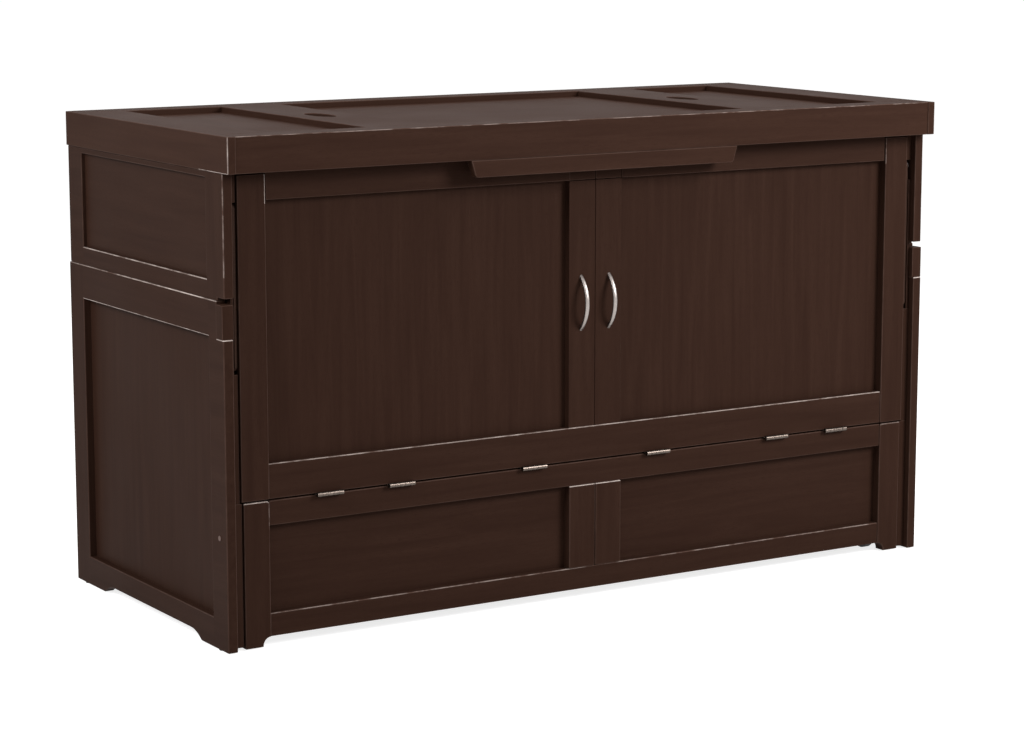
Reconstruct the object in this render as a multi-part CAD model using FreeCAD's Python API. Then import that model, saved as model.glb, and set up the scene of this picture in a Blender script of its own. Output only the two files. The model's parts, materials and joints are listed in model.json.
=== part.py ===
import FreeCAD, Part
import math
import os

# Cabinet bed, closed: a low chest with a lid that hinges up at the back, a front that drops
# forward on butt hinges, and a base that rolls out on wheels with slats between fixed slats.
# Millimetres, +Z up, front towards -Y, origin on the floor under the middle of the chest.

# Overall size
LID_WIDTH = 1650.0
LID_DEPTH = 730.0
HEIGHT = 966.0
LID_HEIGHT = 68.0
KNUCKLE_SPACE = 10.0                 # the lid hinges stand this far behind the back
FRONT_Y = -(LID_DEPTH + KNUCKLE_SPACE) / 2
BACK_Y = FRONT_Y + LID_DEPTH
LID_BOTTOM = HEIGHT - LID_HEIGHT

# Sides: a lower box with an upper box on it
SIDE_T = 20.0
LOWER_OUT = 824.0
UPPER_OUT = 821.5
LOWER_IN = LOWER_OUT - SIDE_T
UPPER_IN = UPPER_OUT - SIDE_T
SIDE_FRONT_Y = FRONT_Y + 31.0
SEAM_Z = 662.0
CASE_TOP = LID_BOTTOM - 0.5
FOOT_Z = 2.0                         # wood starts here, on thin glides
SIDE_STILE_FRONT = 62.0
SIDE_STILE_REAR = 65.0
UPPER_STILE_FRONT = 71.0
UPPER_RAIL_Z = 698.0
UPPER_TOP_RAIL_Z = 886.0
LOWER_TOP_RAIL_Z = 593.0
LOWER_RAIL_Z = 60.5
APRON_Z = 18.0
SIDE_FOOT_LENGTH = 116.0
SIDE_FOOT_CURVE = 47.0
UPPER_PANEL_RECESS = 8.0
UPPER_PANEL_T = 8.0
LOWER_PANEL_T = 5.0
NOTCH_DEPTH = 28.0
NOTCH_LOW_Z = 592.0
NOTCH_HIGH_Z = 668.0
BLOCK_TOP_Z = 656.0                  # the corner block stops short of the seam
BOLT_CAP_Z = 217.0
BOLT_CAP_R = 5.0
BOLT_CAP_T = 1.0
BOLT_CAP_IN = 29.0                   # behind the side's front edge
GLIDE_R = 9.0
GLIDE_IN = 40.0

# Fronts
FACE_Y = SIDE_FRONT_Y + 10.0
FRONT_T = 26.0
FRONT_BACK_Y = FACE_Y + FRONT_T
RAIL_SETBACK = 2.0
CENTRE_SETBACK = 4.0
PANEL_RECESS = 18.0
UPPER_FRONT_HALF = 787.0
LOWER_FRONT_HALF = 783.0
STILE_IN = 729.5
CENTRE_STILE = 61.5
CENTRE_GAP = 1.5
HINGE_Z = 282.0
HINGE_GAP = 3.0
DROP_BOTTOM = HINGE_Z + HINGE_GAP / 2
BASE_TOP = HINGE_Z - HINGE_GAP / 2
DROP_RAIL_Z = 351.0
DROP_PANEL_TOP = 842.0
DROP_STILE_TOP = 892.0
BASE_RAIL_Z = 65.0
BASE_TOP_RAIL_Z = 233.0
BASE_APRON_Z = 20.0
BASE_FOOT_IN = 745.0
DROP_TOP_GAP = 1.5                   # under the header rail
HEADER_T = 22.0
HEADER_GAP = 0.5
CATCH_X = (380.0, 420.0)
CATCH_DROP = 14.0
CATCH_DEPTH = 20.0
STRIKE_X = (375.0, 425.0)
STRIKE_Z = (828.0, 841.0)
STRIKE_T = 1.5
BATTEN_Z = (790.0, 826.0)
BATTEN_T = 18.0

# Back
BACK_TOP_RAIL_Y = 336.0
BACK_TOP_RAIL_Z = 840.0
BACK_MIDDLE_RAIL_Z = (640.0, 684.0)
BACK_BOTTOM_RAIL_Z = 80.0
BACK_PLY_T = 6.0

# Bed platform
SLAT_T = 13.0
SLAT_TOP = 313.0
SLAT_BOTTOM = SLAT_TOP - SLAT_T
SLAT_WIDTH = 58.0
SLAT_PITCH = 63.0
SLAT_PAIRS = 12
SLIDE_LIFT = 0.5                     # sliding slats run this far above the fixed rails
CROSS_RAIL_FRONT = -281.0
CROSS_RAIL_T = 40.0
CROSS_RAIL_Z = 262.0
BACK_PANEL_Y = 344.0
LEDGER_T = 20.0
SLIDING_SLAT_END = 338.0

# Rolling base
CARRIAGE_T = 20.0
CARRIAGE_END = 320.0
CARRIAGE_SIDE_Z = 8.0                # the side rails reach almost to the floor, beside the wheels
CARRIAGE_REAR_Z = 60.0
CARRIAGE_TOP = 230.0
GUIDE_Y = (-250.0, 340.0)
GUIDE_Z = (110.0, 150.0)
GUIDE_GAP = 2.0

# Mattress, folded in three
MATTRESS_WIDTH = 1524.0
MATTRESS_LENGTH = 620.0
MATTRESS_T = 150.0
MATTRESS_Y = 14.0
MATTRESS_CORNER = 40.0

# Wheels
WHEEL_R = 25.0
WHEEL_T = 20.0
AXLE_R = 4.0
RUNNING_GAP = 0.05
WHEEL_X = 738.0
WHEEL_Y = 270.0
FORK_PLATE_Z = 57.0
FORK_PLATE_HALF = (22.0, 26.0)
FORK_CHEEK_T = 3.0
FORK_CHEEK_HALF = 12.0
FORK_SIDE_GAP = 2.0
CASTER_BLOCK_HALF = 30.0
CASTER_BLOCK_WIDTH = 50.0
CASTER_BLOCK_TOP = 100.0

# Legs of the drop front
LEG_T = 6.0
LEG_WIDTH = 20.0
LEG_PIVOT_Z = 830.0
LEG_PIVOT_IN = 15.0                  # behind the face
LEG_HEAD_R = 7.5
LEG_HEAD_T = 2.5
LEG_X = UPPER_FRONT_HALF + 1.5

# Filler strips between the fronts and the sides
FILLER_SETBACK = 4.0
FILLER_GAP = 2.0
FILLER_FOOT_Z = 6.0
FILLER_LEG_LOW = 524.0               # under the folded leg
FILLER_PIN_LOW = 800.0               # under the head of the leg's pin
FILLER_LEG_TOP = 842.0               # over the folded leg

HANDLE_X = 33.0
HANDLE_Z = 600.0
HANDLE_LENGTH = 112.0
HANDLE_REACH = 25.0
HANDLE_HOLES = 96.0
HANDLE_WIDTH = 9.0
HANDLE_FOOT = 10.0
HANDLE_BOW_T = 6.0
SCREW_R = 2.0
SCREW_HEAD_R = 4.5
SCREW_HEAD_T = 2.5

FRONT_HINGE_X = (148.0, 448.5, 604.0)
FRONT_HINGE_LENGTH = 56.0
FRONT_BARREL_R = 4.7
BARREL_GAP = 0.3                     # between a knuckle and the board in front of it
FRONT_AXIS_Y = FACE_Y - BARREL_GAP - FRONT_BARREL_R
LID_HINGE_X = (200.0, 600.0)
LID_HINGE_LENGTH = 76.0

# Lid
LID_BOARD_T = 17.0
LID_RAIL_T = 20.0
FASCIA_T = 20.0
FASCIA_SETBACK = 2.0
LID_FRONT_RIM = 62.0
LID_REAR_RIM = 58.0
LID_REAR_BOARD_T = 18.0
LID_END_STILE_IN = 105.0
LID_CROSS_X = (370.5, 505.5)
LID_PANEL_RECESS = 12.0
LID_BATTEN_T = 18.0
GRIP_HALF = (22.5, 52.5)
GRIP_DEPTH = 4.0
GRIP_CUP_T = 2.0
PULL_DROP = 33.0
PULL_HALF_TOP = 312.0
PULL_HALF_BOTTOM = 302.0
PULL_T = 18.0
PULL_CORNER = 8.0


def box(x0, x1, y0, y1, z0, z1):
    """A board between two corners, whichever order each pair is given in."""
    low = FreeCAD.Vector(min(x0, x1), min(y0, y1), min(z0, z1))
    return Part.makeBox(abs(x1 - x0), abs(y1 - y0), abs(z1 - z0), low)


def rod(radius, start, direction, length):
    return Part.makeCylinder(radius, length, FreeCAD.Vector(*start), FreeCAD.Vector(*direction))


def mirrored(shape):
    """The same piece on the other side of the chest."""
    return shape.mirror(FreeCAD.Vector(0, 0, 0), FreeCAD.Vector(1, 0, 0))


def pair(shape):
    return [mirrored(shape), shape]


def save(name, shapes):
    shape = shapes[0] if len(shapes) == 1 else Part.makeCompound(shapes)
    shape.exportStep("parts/" + name + ".step")


def plate_from(edges, direction):
    return Part.Face(Part.Wire(edges)).extrude(FreeCAD.Vector(*direction))


def line(a, b):
    return Part.LineSegment(FreeCAD.Vector(*a), FreeCAD.Vector(*b)).toShape()


def arc(a, middle, b):
    ends = [FreeCAD.Vector(*point) for point in (a, middle, b)]
    return Part.Arc(*ends).toShape()


def foot_curve_middle(foot, foot_z, apron, apron_z):
    """Middle of the arc that leaves a foot and runs level into the apron."""
    run = apron - foot
    rise = apron_z - foot_z
    radius = (run * run + rise * rise) / (2 * rise)
    half_turn = math.asin(abs(run) / radius) / 2
    along = apron - math.copysign(radius * math.sin(half_turn), run)
    return along, apron_z - radius * (1 - math.cos(half_turn))


def side_bottom_rail(y_front, y_rear):
    """Bottom rail of a side, with the bracket feet cut from it, at positive X."""
    foot_front = SIDE_FRONT_Y + SIDE_FOOT_LENGTH
    foot_rear = BACK_Y - SIDE_FOOT_LENGTH - 20.0
    apron_front = foot_front + SIDE_FOOT_CURVE
    apron_rear = foot_rear - SIDE_FOOT_CURVE
    x = LOWER_IN
    front_mid = foot_curve_middle(foot_front, FOOT_Z, apron_front, APRON_Z)
    rear_mid = foot_curve_middle(foot_rear, FOOT_Z, apron_rear, APRON_Z)
    edges = [
        line((x, y_front, LOWER_RAIL_Z), (x, y_front, FOOT_Z)),
        line((x, y_front, FOOT_Z), (x, foot_front, FOOT_Z)),
        arc((x, foot_front, FOOT_Z), (x, *front_mid), (x, apron_front, APRON_Z)),
        line((x, apron_front, APRON_Z), (x, apron_rear, APRON_Z)),
        arc((x, apron_rear, APRON_Z), (x, *rear_mid), (x, foot_rear, FOOT_Z)),
        line((x, foot_rear, FOOT_Z), (x, y_rear, FOOT_Z)),
        line((x, y_rear, FOOT_Z), (x, y_rear, LOWER_RAIL_Z)),
        line((x, y_rear, LOWER_RAIL_Z), (x, y_front, LOWER_RAIL_Z)),
    ]
    return plate_from(edges, (SIDE_T, 0, 0))


def lower_side():
    y_front = SIDE_FRONT_Y + SIDE_STILE_FRONT
    y_rear = BACK_Y - SIDE_STILE_REAR
    notch = box(LOWER_IN - 1, LOWER_OUT + 1, SIDE_FRONT_Y - 1, SIDE_FRONT_Y + NOTCH_DEPTH,
                NOTCH_LOW_Z, SEAM_Z + 1)
    front_stile = box(LOWER_IN, LOWER_OUT, SIDE_FRONT_Y, y_front, FOOT_Z, SEAM_Z).cut(notch)
    rear_stile = box(LOWER_IN, LOWER_OUT, y_rear, BACK_Y, FOOT_Z, SEAM_Z)
    top_rail = box(LOWER_IN, LOWER_OUT, y_front, y_rear, LOWER_TOP_RAIL_Z, SEAM_Z)
    frame = [front_stile, rear_stile, top_rail, side_bottom_rail(y_front, y_rear)]
    panel = box(LOWER_IN, LOWER_IN + LOWER_PANEL_T, y_front, y_rear, LOWER_RAIL_Z, LOWER_TOP_RAIL_Z)
    return frame, panel


def upper_side():
    y_front = SIDE_FRONT_Y + UPPER_STILE_FRONT
    y_rear = BACK_Y - SIDE_STILE_REAR
    notch = box(UPPER_IN - 1, UPPER_OUT + 1, SIDE_FRONT_Y - 1, SIDE_FRONT_Y + NOTCH_DEPTH,
                SEAM_Z - 1, NOTCH_HIGH_Z)
    front_stile = box(UPPER_IN, UPPER_OUT, SIDE_FRONT_Y, y_front, SEAM_Z, CASE_TOP).cut(notch)
    rear_stile = box(UPPER_IN, UPPER_OUT, y_rear, BACK_Y, SEAM_Z, CASE_TOP)
    bottom_rail = box(UPPER_IN, UPPER_OUT, y_front, y_rear, SEAM_Z, UPPER_RAIL_Z)
    top_rail = box(UPPER_IN, UPPER_OUT, y_front, y_rear, UPPER_TOP_RAIL_Z, CASE_TOP)
    panel_out = UPPER_OUT - UPPER_PANEL_RECESS
    panel = box(panel_out - UPPER_PANEL_T, panel_out, y_front, y_rear, UPPER_RAIL_Z, UPPER_TOP_RAIL_Z)
    return [front_stile, rear_stile, bottom_rail, top_rail], panel


def butt_hinge(x_mid, length, axis_y, axis_z, barrel_r, inward, leaf_depth, leaf_t, split):
    """Two leaves on one pin. The lower leaf holds the pin; inward is the leaves' side of it."""
    knuckles = 5
    step = length / knuckles
    space = 0.15
    pin_r = barrel_r * 0.38
    start = x_mid - length / 2
    plate_near = axis_y + inward * (barrel_r + 0.8)
    plate_far = axis_y + inward * (barrel_r + leaf_depth)
    low = (axis_z - split / 2 - leaf_t, axis_z - split / 2)
    high = (axis_z + split / 2, axis_z + split / 2 + leaf_t)
    leaves = []
    for first, band in ((0, low), (1, high)):
        leaf = box(start, start + length, plate_near, plate_far, *band)
        for index in range(first, knuckles, 2):
            x0 = start + index * step + space
            width = step - 2 * space
            web = box(x0, x0 + width, axis_y, plate_near, *band)
            leaf = leaf.fuse([web, rod(barrel_r, (x0, axis_y, axis_z), (1, 0, 0), width)])
        leaves.append(leaf)
    pin = rod(pin_r, (start + space, axis_y, axis_z), (1, 0, 0), length - 2 * space)
    bore = rod(pin_r + RUNNING_GAP, (start - 1, axis_y, axis_z), (1, 0, 0), length + 2)
    lower_leaf = leaves[0].fuse(pin).removeSplitter()
    upper_leaf = leaves[1].cut(bore).removeSplitter()
    return lower_leaf, upper_leaf


def front_hinges():
    places = [sign * x for x in FRONT_HINGE_X for sign in (-1, 1)]
    return [butt_hinge(x, FRONT_HINGE_LENGTH, FRONT_AXIS_Y, HINGE_Z, FRONT_BARREL_R, inward=1,
                       leaf_depth=24.0, leaf_t=1.45, split=0.1) for x in places]


def lid_hinges():
    barrel_r = (KNUCKLE_SPACE - BARREL_GAP) / 2
    axis_y = BACK_Y + BARREL_GAP + barrel_r
    axis_z = (LID_BOTTOM + CASE_TOP) / 2
    places = [sign * x for x in LID_HINGE_X for sign in (-1, 1)]
    return [butt_hinge(x, LID_HINGE_LENGTH, axis_y, axis_z, barrel_r, inward=-1,
                       leaf_depth=22.0, leaf_t=1.5, split=LID_BOTTOM - CASE_TOP) for x in places]


def base_post():
    """End post of the rolling base, with its foot curve and eased top corner, at positive X."""
    corner = 6.0
    corner_mid = corner * (1 - math.sqrt(0.5))
    mid_x, mid_z = foot_curve_middle(BASE_FOOT_IN, FOOT_Z, STILE_IN, BASE_APRON_Z)
    y = FACE_Y
    edges = [
        line((LOWER_FRONT_HALF, y, FOOT_Z), (BASE_FOOT_IN, y, FOOT_Z)),
        arc((BASE_FOOT_IN, y, FOOT_Z), (mid_x, y, mid_z), (STILE_IN, y, BASE_APRON_Z)),
        line((STILE_IN, y, BASE_APRON_Z), (STILE_IN, y, BASE_TOP - corner)),
        arc((STILE_IN, y, BASE_TOP - corner),
            (STILE_IN + corner_mid, y, BASE_TOP - corner_mid),
            (STILE_IN + corner, y, BASE_TOP)),
        line((STILE_IN + corner, y, BASE_TOP), (LOWER_FRONT_HALF, y, BASE_TOP)),
        line((LOWER_FRONT_HALF, y, BASE_TOP), (LOWER_FRONT_HALF, y, FOOT_Z)),
    ]
    return plate_from(edges, (0, FRONT_T, 0))


def handle(x):
    """A bow pull: two arcs from face to face, widest away from the front."""
    half = HANDLE_LENGTH / 2
    face = FACE_Y + CENTRE_SETBACK
    x0 = x - HANDLE_WIDTH / 2
    edges = [
        arc((x0, face, HANDLE_Z - half), (x0, face - HANDLE_REACH, HANDLE_Z),
            (x0, face, HANDLE_Z + half)),
        line((x0, face, HANDLE_Z + half), (x0, face, HANDLE_Z + half - HANDLE_FOOT)),
        arc((x0, face, HANDLE_Z + half - HANDLE_FOOT), (x0, face - HANDLE_REACH + HANDLE_BOW_T, HANDLE_Z),
            (x0, face, HANDLE_Z - half + HANDLE_FOOT)),
        line((x0, face, HANDLE_Z - half + HANDLE_FOOT), (x0, face, HANDLE_Z - half)),
    ]
    return plate_from(edges, (HANDLE_WIDTH, 0, 0))


def lid_pull():
    """Board under the lid's front edge, with sloped ends and round lower corners."""
    low = LID_BOTTOM - PULL_DROP
    points = [(-PULL_HALF_TOP, LID_BOTTOM), (PULL_HALF_TOP, LID_BOTTOM),
              (PULL_HALF_BOTTOM, low), (-PULL_HALF_BOTTOM, low)]
    corners = [FreeCAD.Vector(x, FRONT_Y, z) for x, z in points]
    solid = Part.Face(Part.makePolygon(corners + corners[:1])).extrude(FreeCAD.Vector(0, PULL_T, 0))
    lower = [edge for edge in solid.Edges
             if all(abs(v.Z - low) < 0.01 for v in edge.Vertexes)
             and abs(edge.Vertexes[0].X - edge.Vertexes[-1].X) < 0.01]
    return solid.makeFillet(PULL_CORNER, lower)


def oval(x_mid, half_x, half_y, z0, height):
    centre = FreeCAD.Vector(x_mid, 0, z0)
    ring = Part.Ellipse(centre, half_y, half_x)
    ring.rotate(FreeCAD.Placement(centre, FreeCAD.Rotation(FreeCAD.Vector(0, 0, 1), 90), FreeCAD.Vector()))
    return Part.Face(Part.Wire([ring.toShape()])).extrude(FreeCAD.Vector(0, 0, height))


def build_sides():
    lower_frame, lower_panel = lower_side()
    upper_frame, upper_panel = upper_side()
    save("lower_side_frame_right", lower_frame)
    save("lower_side_frame_left", [mirrored(board) for board in lower_frame])
    save("lower_side_panel_right", [lower_panel])
    save("lower_side_panel_left", [mirrored(lower_panel)])
    save("upper_side_frame_right", upper_frame)
    save("upper_side_frame_left", [mirrored(board) for board in upper_frame])
    save("upper_side_panel_right", [upper_panel])
    save("upper_side_panel_left", [mirrored(upper_panel)])
    block = box(UPPER_IN, LID_WIDTH / 2, SIDE_FRONT_Y + 2, SIDE_FRONT_Y + NOTCH_DEPTH,
                NOTCH_LOW_Z, BLOCK_TOP_Z)
    save("corner_blocks", pair(block))
    cap = rod(BOLT_CAP_R, (LOWER_OUT, SIDE_FRONT_Y + BOLT_CAP_IN, BOLT_CAP_Z), (1, 0, 0), BOLT_CAP_T)
    save("bolt_caps", pair(cap.makeFillet(BOLT_CAP_T / 2, [cap.Edges[0]])))
    glides = [rod(GLIDE_R, (LOWER_OUT - SIDE_T / 2, y, 0), (0, 0, 1), FOOT_Z)
              for y in (SIDE_FRONT_Y + GLIDE_IN, BACK_Y - GLIDE_IN)]
    save("foot_glides", [piece for glide in glides for piece in pair(glide)])


def build_fillers():
    """Strips that close the gap beside the fronts, and leave room for the folded leg."""
    front = FACE_Y + FILLER_SETBACK
    lower = box(LOWER_FRONT_HALF + FILLER_GAP, LOWER_IN, front, FRONT_BACK_Y, FILLER_FOOT_Z, BASE_TOP)
    middle = box(UPPER_FRONT_HALF + FILLER_GAP, LOWER_IN, front, FRONT_BACK_Y, BASE_TOP, FILLER_LEG_LOW)
    beside_leg = box(LEG_X + LEG_T + FILLER_GAP, UPPER_IN, front, FRONT_BACK_Y,
                     FILLER_LEG_LOW, FILLER_PIN_LOW)
    over_leg = box(UPPER_FRONT_HALF + FILLER_GAP, UPPER_IN, front, FRONT_BACK_Y + HEADER_GAP,
                   FILLER_LEG_TOP, CASE_TOP)
    save("side_fillers", [piece for strip in (lower, middle, beside_leg, over_leg) for piece in pair(strip)])


def build_back(lid_leaf_pockets):
    middle_low, middle_high = BACK_MIDDLE_RAIL_Z
    ply_y = BACK_PANEL_Y + BACK_PLY_T
    top = box(-UPPER_IN, UPPER_IN, BACK_TOP_RAIL_Y, BACK_Y, BACK_TOP_RAIL_Z, CASE_TOP)
    for pocket in lid_leaf_pockets:
        top = top.cut(pocket)
    middle = box(-UPPER_IN, UPPER_IN, BACK_PANEL_Y, BACK_Y, middle_low, middle_high)
    bottom = box(-LOWER_IN, LOWER_IN, BACK_PANEL_Y, BACK_Y, BASE_APRON_Z, BACK_BOTTOM_RAIL_Z)
    save("back_rails", [top, middle, bottom])
    upper = box(-UPPER_IN, UPPER_IN, BACK_PANEL_Y, ply_y, middle_high, BACK_TOP_RAIL_Z)
    lower = box(-LOWER_IN, LOWER_IN, BACK_PANEL_Y, ply_y, BACK_BOTTOM_RAIL_Z, middle_low)
    save("back_panels", [upper, lower])


def build_header():
    bottom = DROP_PANEL_TOP + DROP_TOP_GAP
    back = FRONT_BACK_Y + HEADER_GAP
    rail = box(CENTRE_STILE, STILE_IN - 2, FACE_Y + RAIL_SETBACK, back, bottom, CASE_TOP)
    block = box(CENTRE_GAP / 2, CENTRE_STILE, FACE_Y + CENTRE_SETBACK, back, bottom, CASE_TOP)
    save("header_rail", pair(rail) + pair(block))
    save("header_stretcher", [box(-UPPER_IN, UPPER_IN, back, back + HEADER_T, bottom, CASE_TOP)])
    catch = box(*CATCH_X, FRONT_BACK_Y + STRIKE_T + 1, FRONT_BACK_Y + CATCH_DEPTH,
                bottom - CATCH_DROP, bottom)
    save("catch_magnets", pair(catch))


def slat_centre(index):
    return (index - SLAT_PAIRS + 0.5) * SLAT_PITCH


def slat(index, y0, y1, z0, z1):
    x = slat_centre(index)
    return box(x - SLAT_WIDTH / 2, x + SLAT_WIDTH / 2, y0, y1, z0, z1)


def build_platform():
    front_rail = box(-LOWER_IN, LOWER_IN, CROSS_RAIL_FRONT, CROSS_RAIL_FRONT + CROSS_RAIL_T,
                     CROSS_RAIL_Z, SLAT_BOTTOM)
    rear_rail = box(-LOWER_IN, LOWER_IN, BACK_PANEL_Y - CROSS_RAIL_T, BACK_PANEL_Y,
                    CROSS_RAIL_Z, SLAT_BOTTOM)
    save("slat_cross_rails", [front_rail, rear_rail])
    save("fixed_slats", [slat(index, CROSS_RAIL_FRONT, BACK_PANEL_Y, SLAT_BOTTOM, SLAT_TOP)
                         for index in range(0, 2 * SLAT_PAIRS, 2)])
    guide = box(LOWER_FRONT_HALF + GUIDE_GAP, LOWER_IN, *GUIDE_Y, *GUIDE_Z)
    save("base_guides", pair(guide))


def build_mattress():
    sections = []
    for layer in range(3):
        bottom = SLAT_TOP + layer * (MATTRESS_T + 0.5)
        section = box(-MATTRESS_WIDTH / 2, MATTRESS_WIDTH / 2, MATTRESS_Y - MATTRESS_LENGTH / 2,
                      MATTRESS_Y + MATTRESS_LENGTH / 2, bottom, bottom + MATTRESS_T)
        upright = [edge for edge in section.Edges
                   if abs(edge.Vertexes[0].Z - edge.Vertexes[-1].Z) > 1]
        sections.append(section.makeFillet(MATTRESS_CORNER, upright))
    save("mattress_sections", sections)


def build_lid(lid_leaf_pockets):
    half = LID_WIDTH / 2
    board_in = half - LID_BOARD_T
    frame_low = HEIGHT - LID_RAIL_T
    fascia_back = FRONT_Y + FASCIA_T
    front_rim = FRONT_Y + LID_FRONT_RIM
    rear_rim = BACK_Y - LID_REAR_RIM
    rear_board = BACK_Y - LID_REAR_BOARD_T
    end_in = half - LID_END_STILE_IN
    cross_in, cross_out = LID_CROSS_X
    panel_top = HEIGHT - LID_PANEL_RECESS
    save("lid_front_board", [box(-board_in, board_in, FRONT_Y + FASCIA_SETBACK, fascia_back,
                                 LID_BOTTOM, HEIGHT)])
    save("lid_side_boards", pair(box(board_in, half, FRONT_Y, BACK_Y, LID_BOTTOM, HEIGHT)))
    back_board = box(-board_in, board_in, rear_board, BACK_Y, LID_BOTTOM, HEIGHT)
    for pocket in lid_leaf_pockets:
        back_board = back_board.cut(pocket)
    save("lid_rear_board", [back_board])
    front_rail = box(-board_in, board_in, fascia_back, front_rim, frame_low, HEIGHT)
    rear_rail = box(-board_in, board_in, rear_rim, rear_board, frame_low, HEIGHT)
    batten = box(-board_in, board_in, fascia_back, FRONT_BACK_Y + FASCIA_T,
                 LID_BOTTOM, LID_BOTTOM + LID_BATTEN_T)
    save("lid_rails", [front_rail, rear_rail, batten])
    save("lid_end_stiles", pair(box(end_in, board_in, front_rim, rear_rim, frame_low, HEIGHT)))
    oval_x = (cross_in + cross_out) / 2
    pocket = oval(oval_x, *GRIP_HALF, HEIGHT - GRIP_DEPTH, 2 * GRIP_DEPTH)
    cross = box(cross_in, cross_out, front_rim, rear_rim, frame_low, HEIGHT).cut(pocket)
    save("lid_cross_stiles", pair(cross))
    save("lid_grip_cups", pair(oval(oval_x, *GRIP_HALF, HEIGHT - GRIP_DEPTH, GRIP_CUP_T)))
    centre_panel = box(-cross_in, cross_in, front_rim, rear_rim, frame_low, panel_top)
    side_panel = box(cross_out, end_in, front_rim, rear_rim, frame_low, panel_top)
    save("lid_panels", pair(side_panel) + [centre_panel])
    save("lid_pull", [lid_pull()])


def build_drop_front():
    stile = box(STILE_IN, UPPER_FRONT_HALF, FACE_Y, FRONT_BACK_Y, DROP_BOTTOM, DROP_STILE_TOP)
    save("drop_stiles", pair(stile))
    save("drop_bottom_rail", [box(-STILE_IN, STILE_IN, FACE_Y + RAIL_SETBACK, FRONT_BACK_Y,
                                  DROP_BOTTOM, DROP_RAIL_Z)])
    centre = box(CENTRE_GAP / 2, CENTRE_STILE, FACE_Y + CENTRE_SETBACK, FRONT_BACK_Y,
                 DROP_RAIL_Z, DROP_PANEL_TOP)
    screws = []
    for z in (HANDLE_Z - HANDLE_HOLES / 2, HANDLE_Z + HANDLE_HOLES / 2):
        shank = rod(SCREW_R, (HANDLE_X, FACE_Y + CENTRE_SETBACK, z), (0, 1, 0), FRONT_T - CENTRE_SETBACK)
        head = rod(SCREW_HEAD_R, (HANDLE_X, FRONT_BACK_Y, z), (0, 1, 0), SCREW_HEAD_T)
        centre = centre.cut(shank)
        screws += pair(shank.fuse(head))
    save("drop_centre_stiles", pair(centre))
    save("handle_screws", screws)
    save("handle_right", [handle(HANDLE_X)])
    save("handle_left", [handle(-HANDLE_X)])
    panel = box(CENTRE_STILE, STILE_IN, FACE_Y + PANEL_RECESS, FRONT_BACK_Y, DROP_RAIL_Z, DROP_PANEL_TOP)
    save("drop_panels", pair(panel))
    save("drop_top_batten", [box(-STILE_IN, STILE_IN, FRONT_BACK_Y, FRONT_BACK_Y + BATTEN_T, *BATTEN_Z)])
    plate = box(*STRIKE_X, FRONT_BACK_Y, FRONT_BACK_Y + STRIKE_T, *STRIKE_Z)
    save("catch_plates", pair(plate))


def build_legs():
    pivot_y = FACE_Y + LEG_PIVOT_IN
    half = LEG_WIDTH / 2
    open_height = HINGE_Z + pivot_y - FRONT_AXIS_Y
    length = open_height - FOOT_Z - half
    pivot = (LEG_X, pivot_y, LEG_PIVOT_Z)
    bar = box(LEG_X, LEG_X + LEG_T, pivot_y - half, pivot_y + half, LEG_PIVOT_Z - length, LEG_PIVOT_Z)
    ends = [rod(half, (LEG_X, pivot_y, z), (1, 0, 0), LEG_T) for z in (LEG_PIVOT_Z, LEG_PIVOT_Z - length)]
    leg = bar.fuse(ends).removeSplitter().cut(rod(AXLE_R + RUNNING_GAP, pivot, (1, 0, 0), LEG_T))
    save("support_leg_right", [leg])
    save("support_leg_left", [mirrored(leg)])
    head_x = LEG_X + LEG_T + 1
    shank = rod(AXLE_R, (UPPER_FRONT_HALF, pivot_y, LEG_PIVOT_Z), (1, 0, 0), head_x - UPPER_FRONT_HALF)
    head = rod(LEG_HEAD_R, (head_x, pivot_y, LEG_PIVOT_Z), (1, 0, 0), LEG_HEAD_T)
    save("leg_pins", pair(shank.fuse(head)))


def build_base():
    save("base_posts", pair(base_post()))
    rail_y = FACE_Y + RAIL_SETBACK
    top_rail = box(-STILE_IN, STILE_IN, rail_y, FRONT_BACK_Y, BASE_TOP_RAIL_Z, BASE_TOP)
    bottom_rail = box(-STILE_IN, STILE_IN, rail_y, FRONT_BACK_Y, BASE_APRON_Z, BASE_RAIL_Z)
    save("base_rails", [top_rail, bottom_rail])
    save("base_centre_stiles", pair(box(CENTRE_GAP / 2, CENTRE_STILE, FACE_Y, FRONT_BACK_Y,
                                        BASE_RAIL_Z, BASE_TOP_RAIL_Z)))
    save("base_panels", pair(box(CENTRE_STILE, STILE_IN, FACE_Y + PANEL_RECESS, FRONT_BACK_Y,
                                 BASE_RAIL_Z, BASE_TOP_RAIL_Z)))
    slide_z = SLAT_BOTTOM + SLIDE_LIFT
    save("base_slat_ledger", [box(-LOWER_FRONT_HALF, LOWER_FRONT_HALF, FRONT_BACK_Y,
                                  FRONT_BACK_Y + LEDGER_T, CROSS_RAIL_Z, slide_z)])
    save("sliding_slats", [slat(index, FRONT_BACK_Y + HEADER_GAP, SLIDING_SLAT_END, slide_z, SLAT_TOP - 0.3)
                           for index in range(1, 2 * SLAT_PAIRS, 2)])
    rail_in = LOWER_FRONT_HALF - CARRIAGE_T
    side_rail = box(rail_in, LOWER_FRONT_HALF, FRONT_BACK_Y, CARRIAGE_END, CARRIAGE_SIDE_Z, CARRIAGE_TOP)
    rear_rail = box(-rail_in, rail_in, CARRIAGE_END - CARRIAGE_T, CARRIAGE_END,
                    CARRIAGE_REAR_Z, CARRIAGE_TOP)
    save("carriage_rails", pair(side_rail) + [rear_rail])


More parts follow.
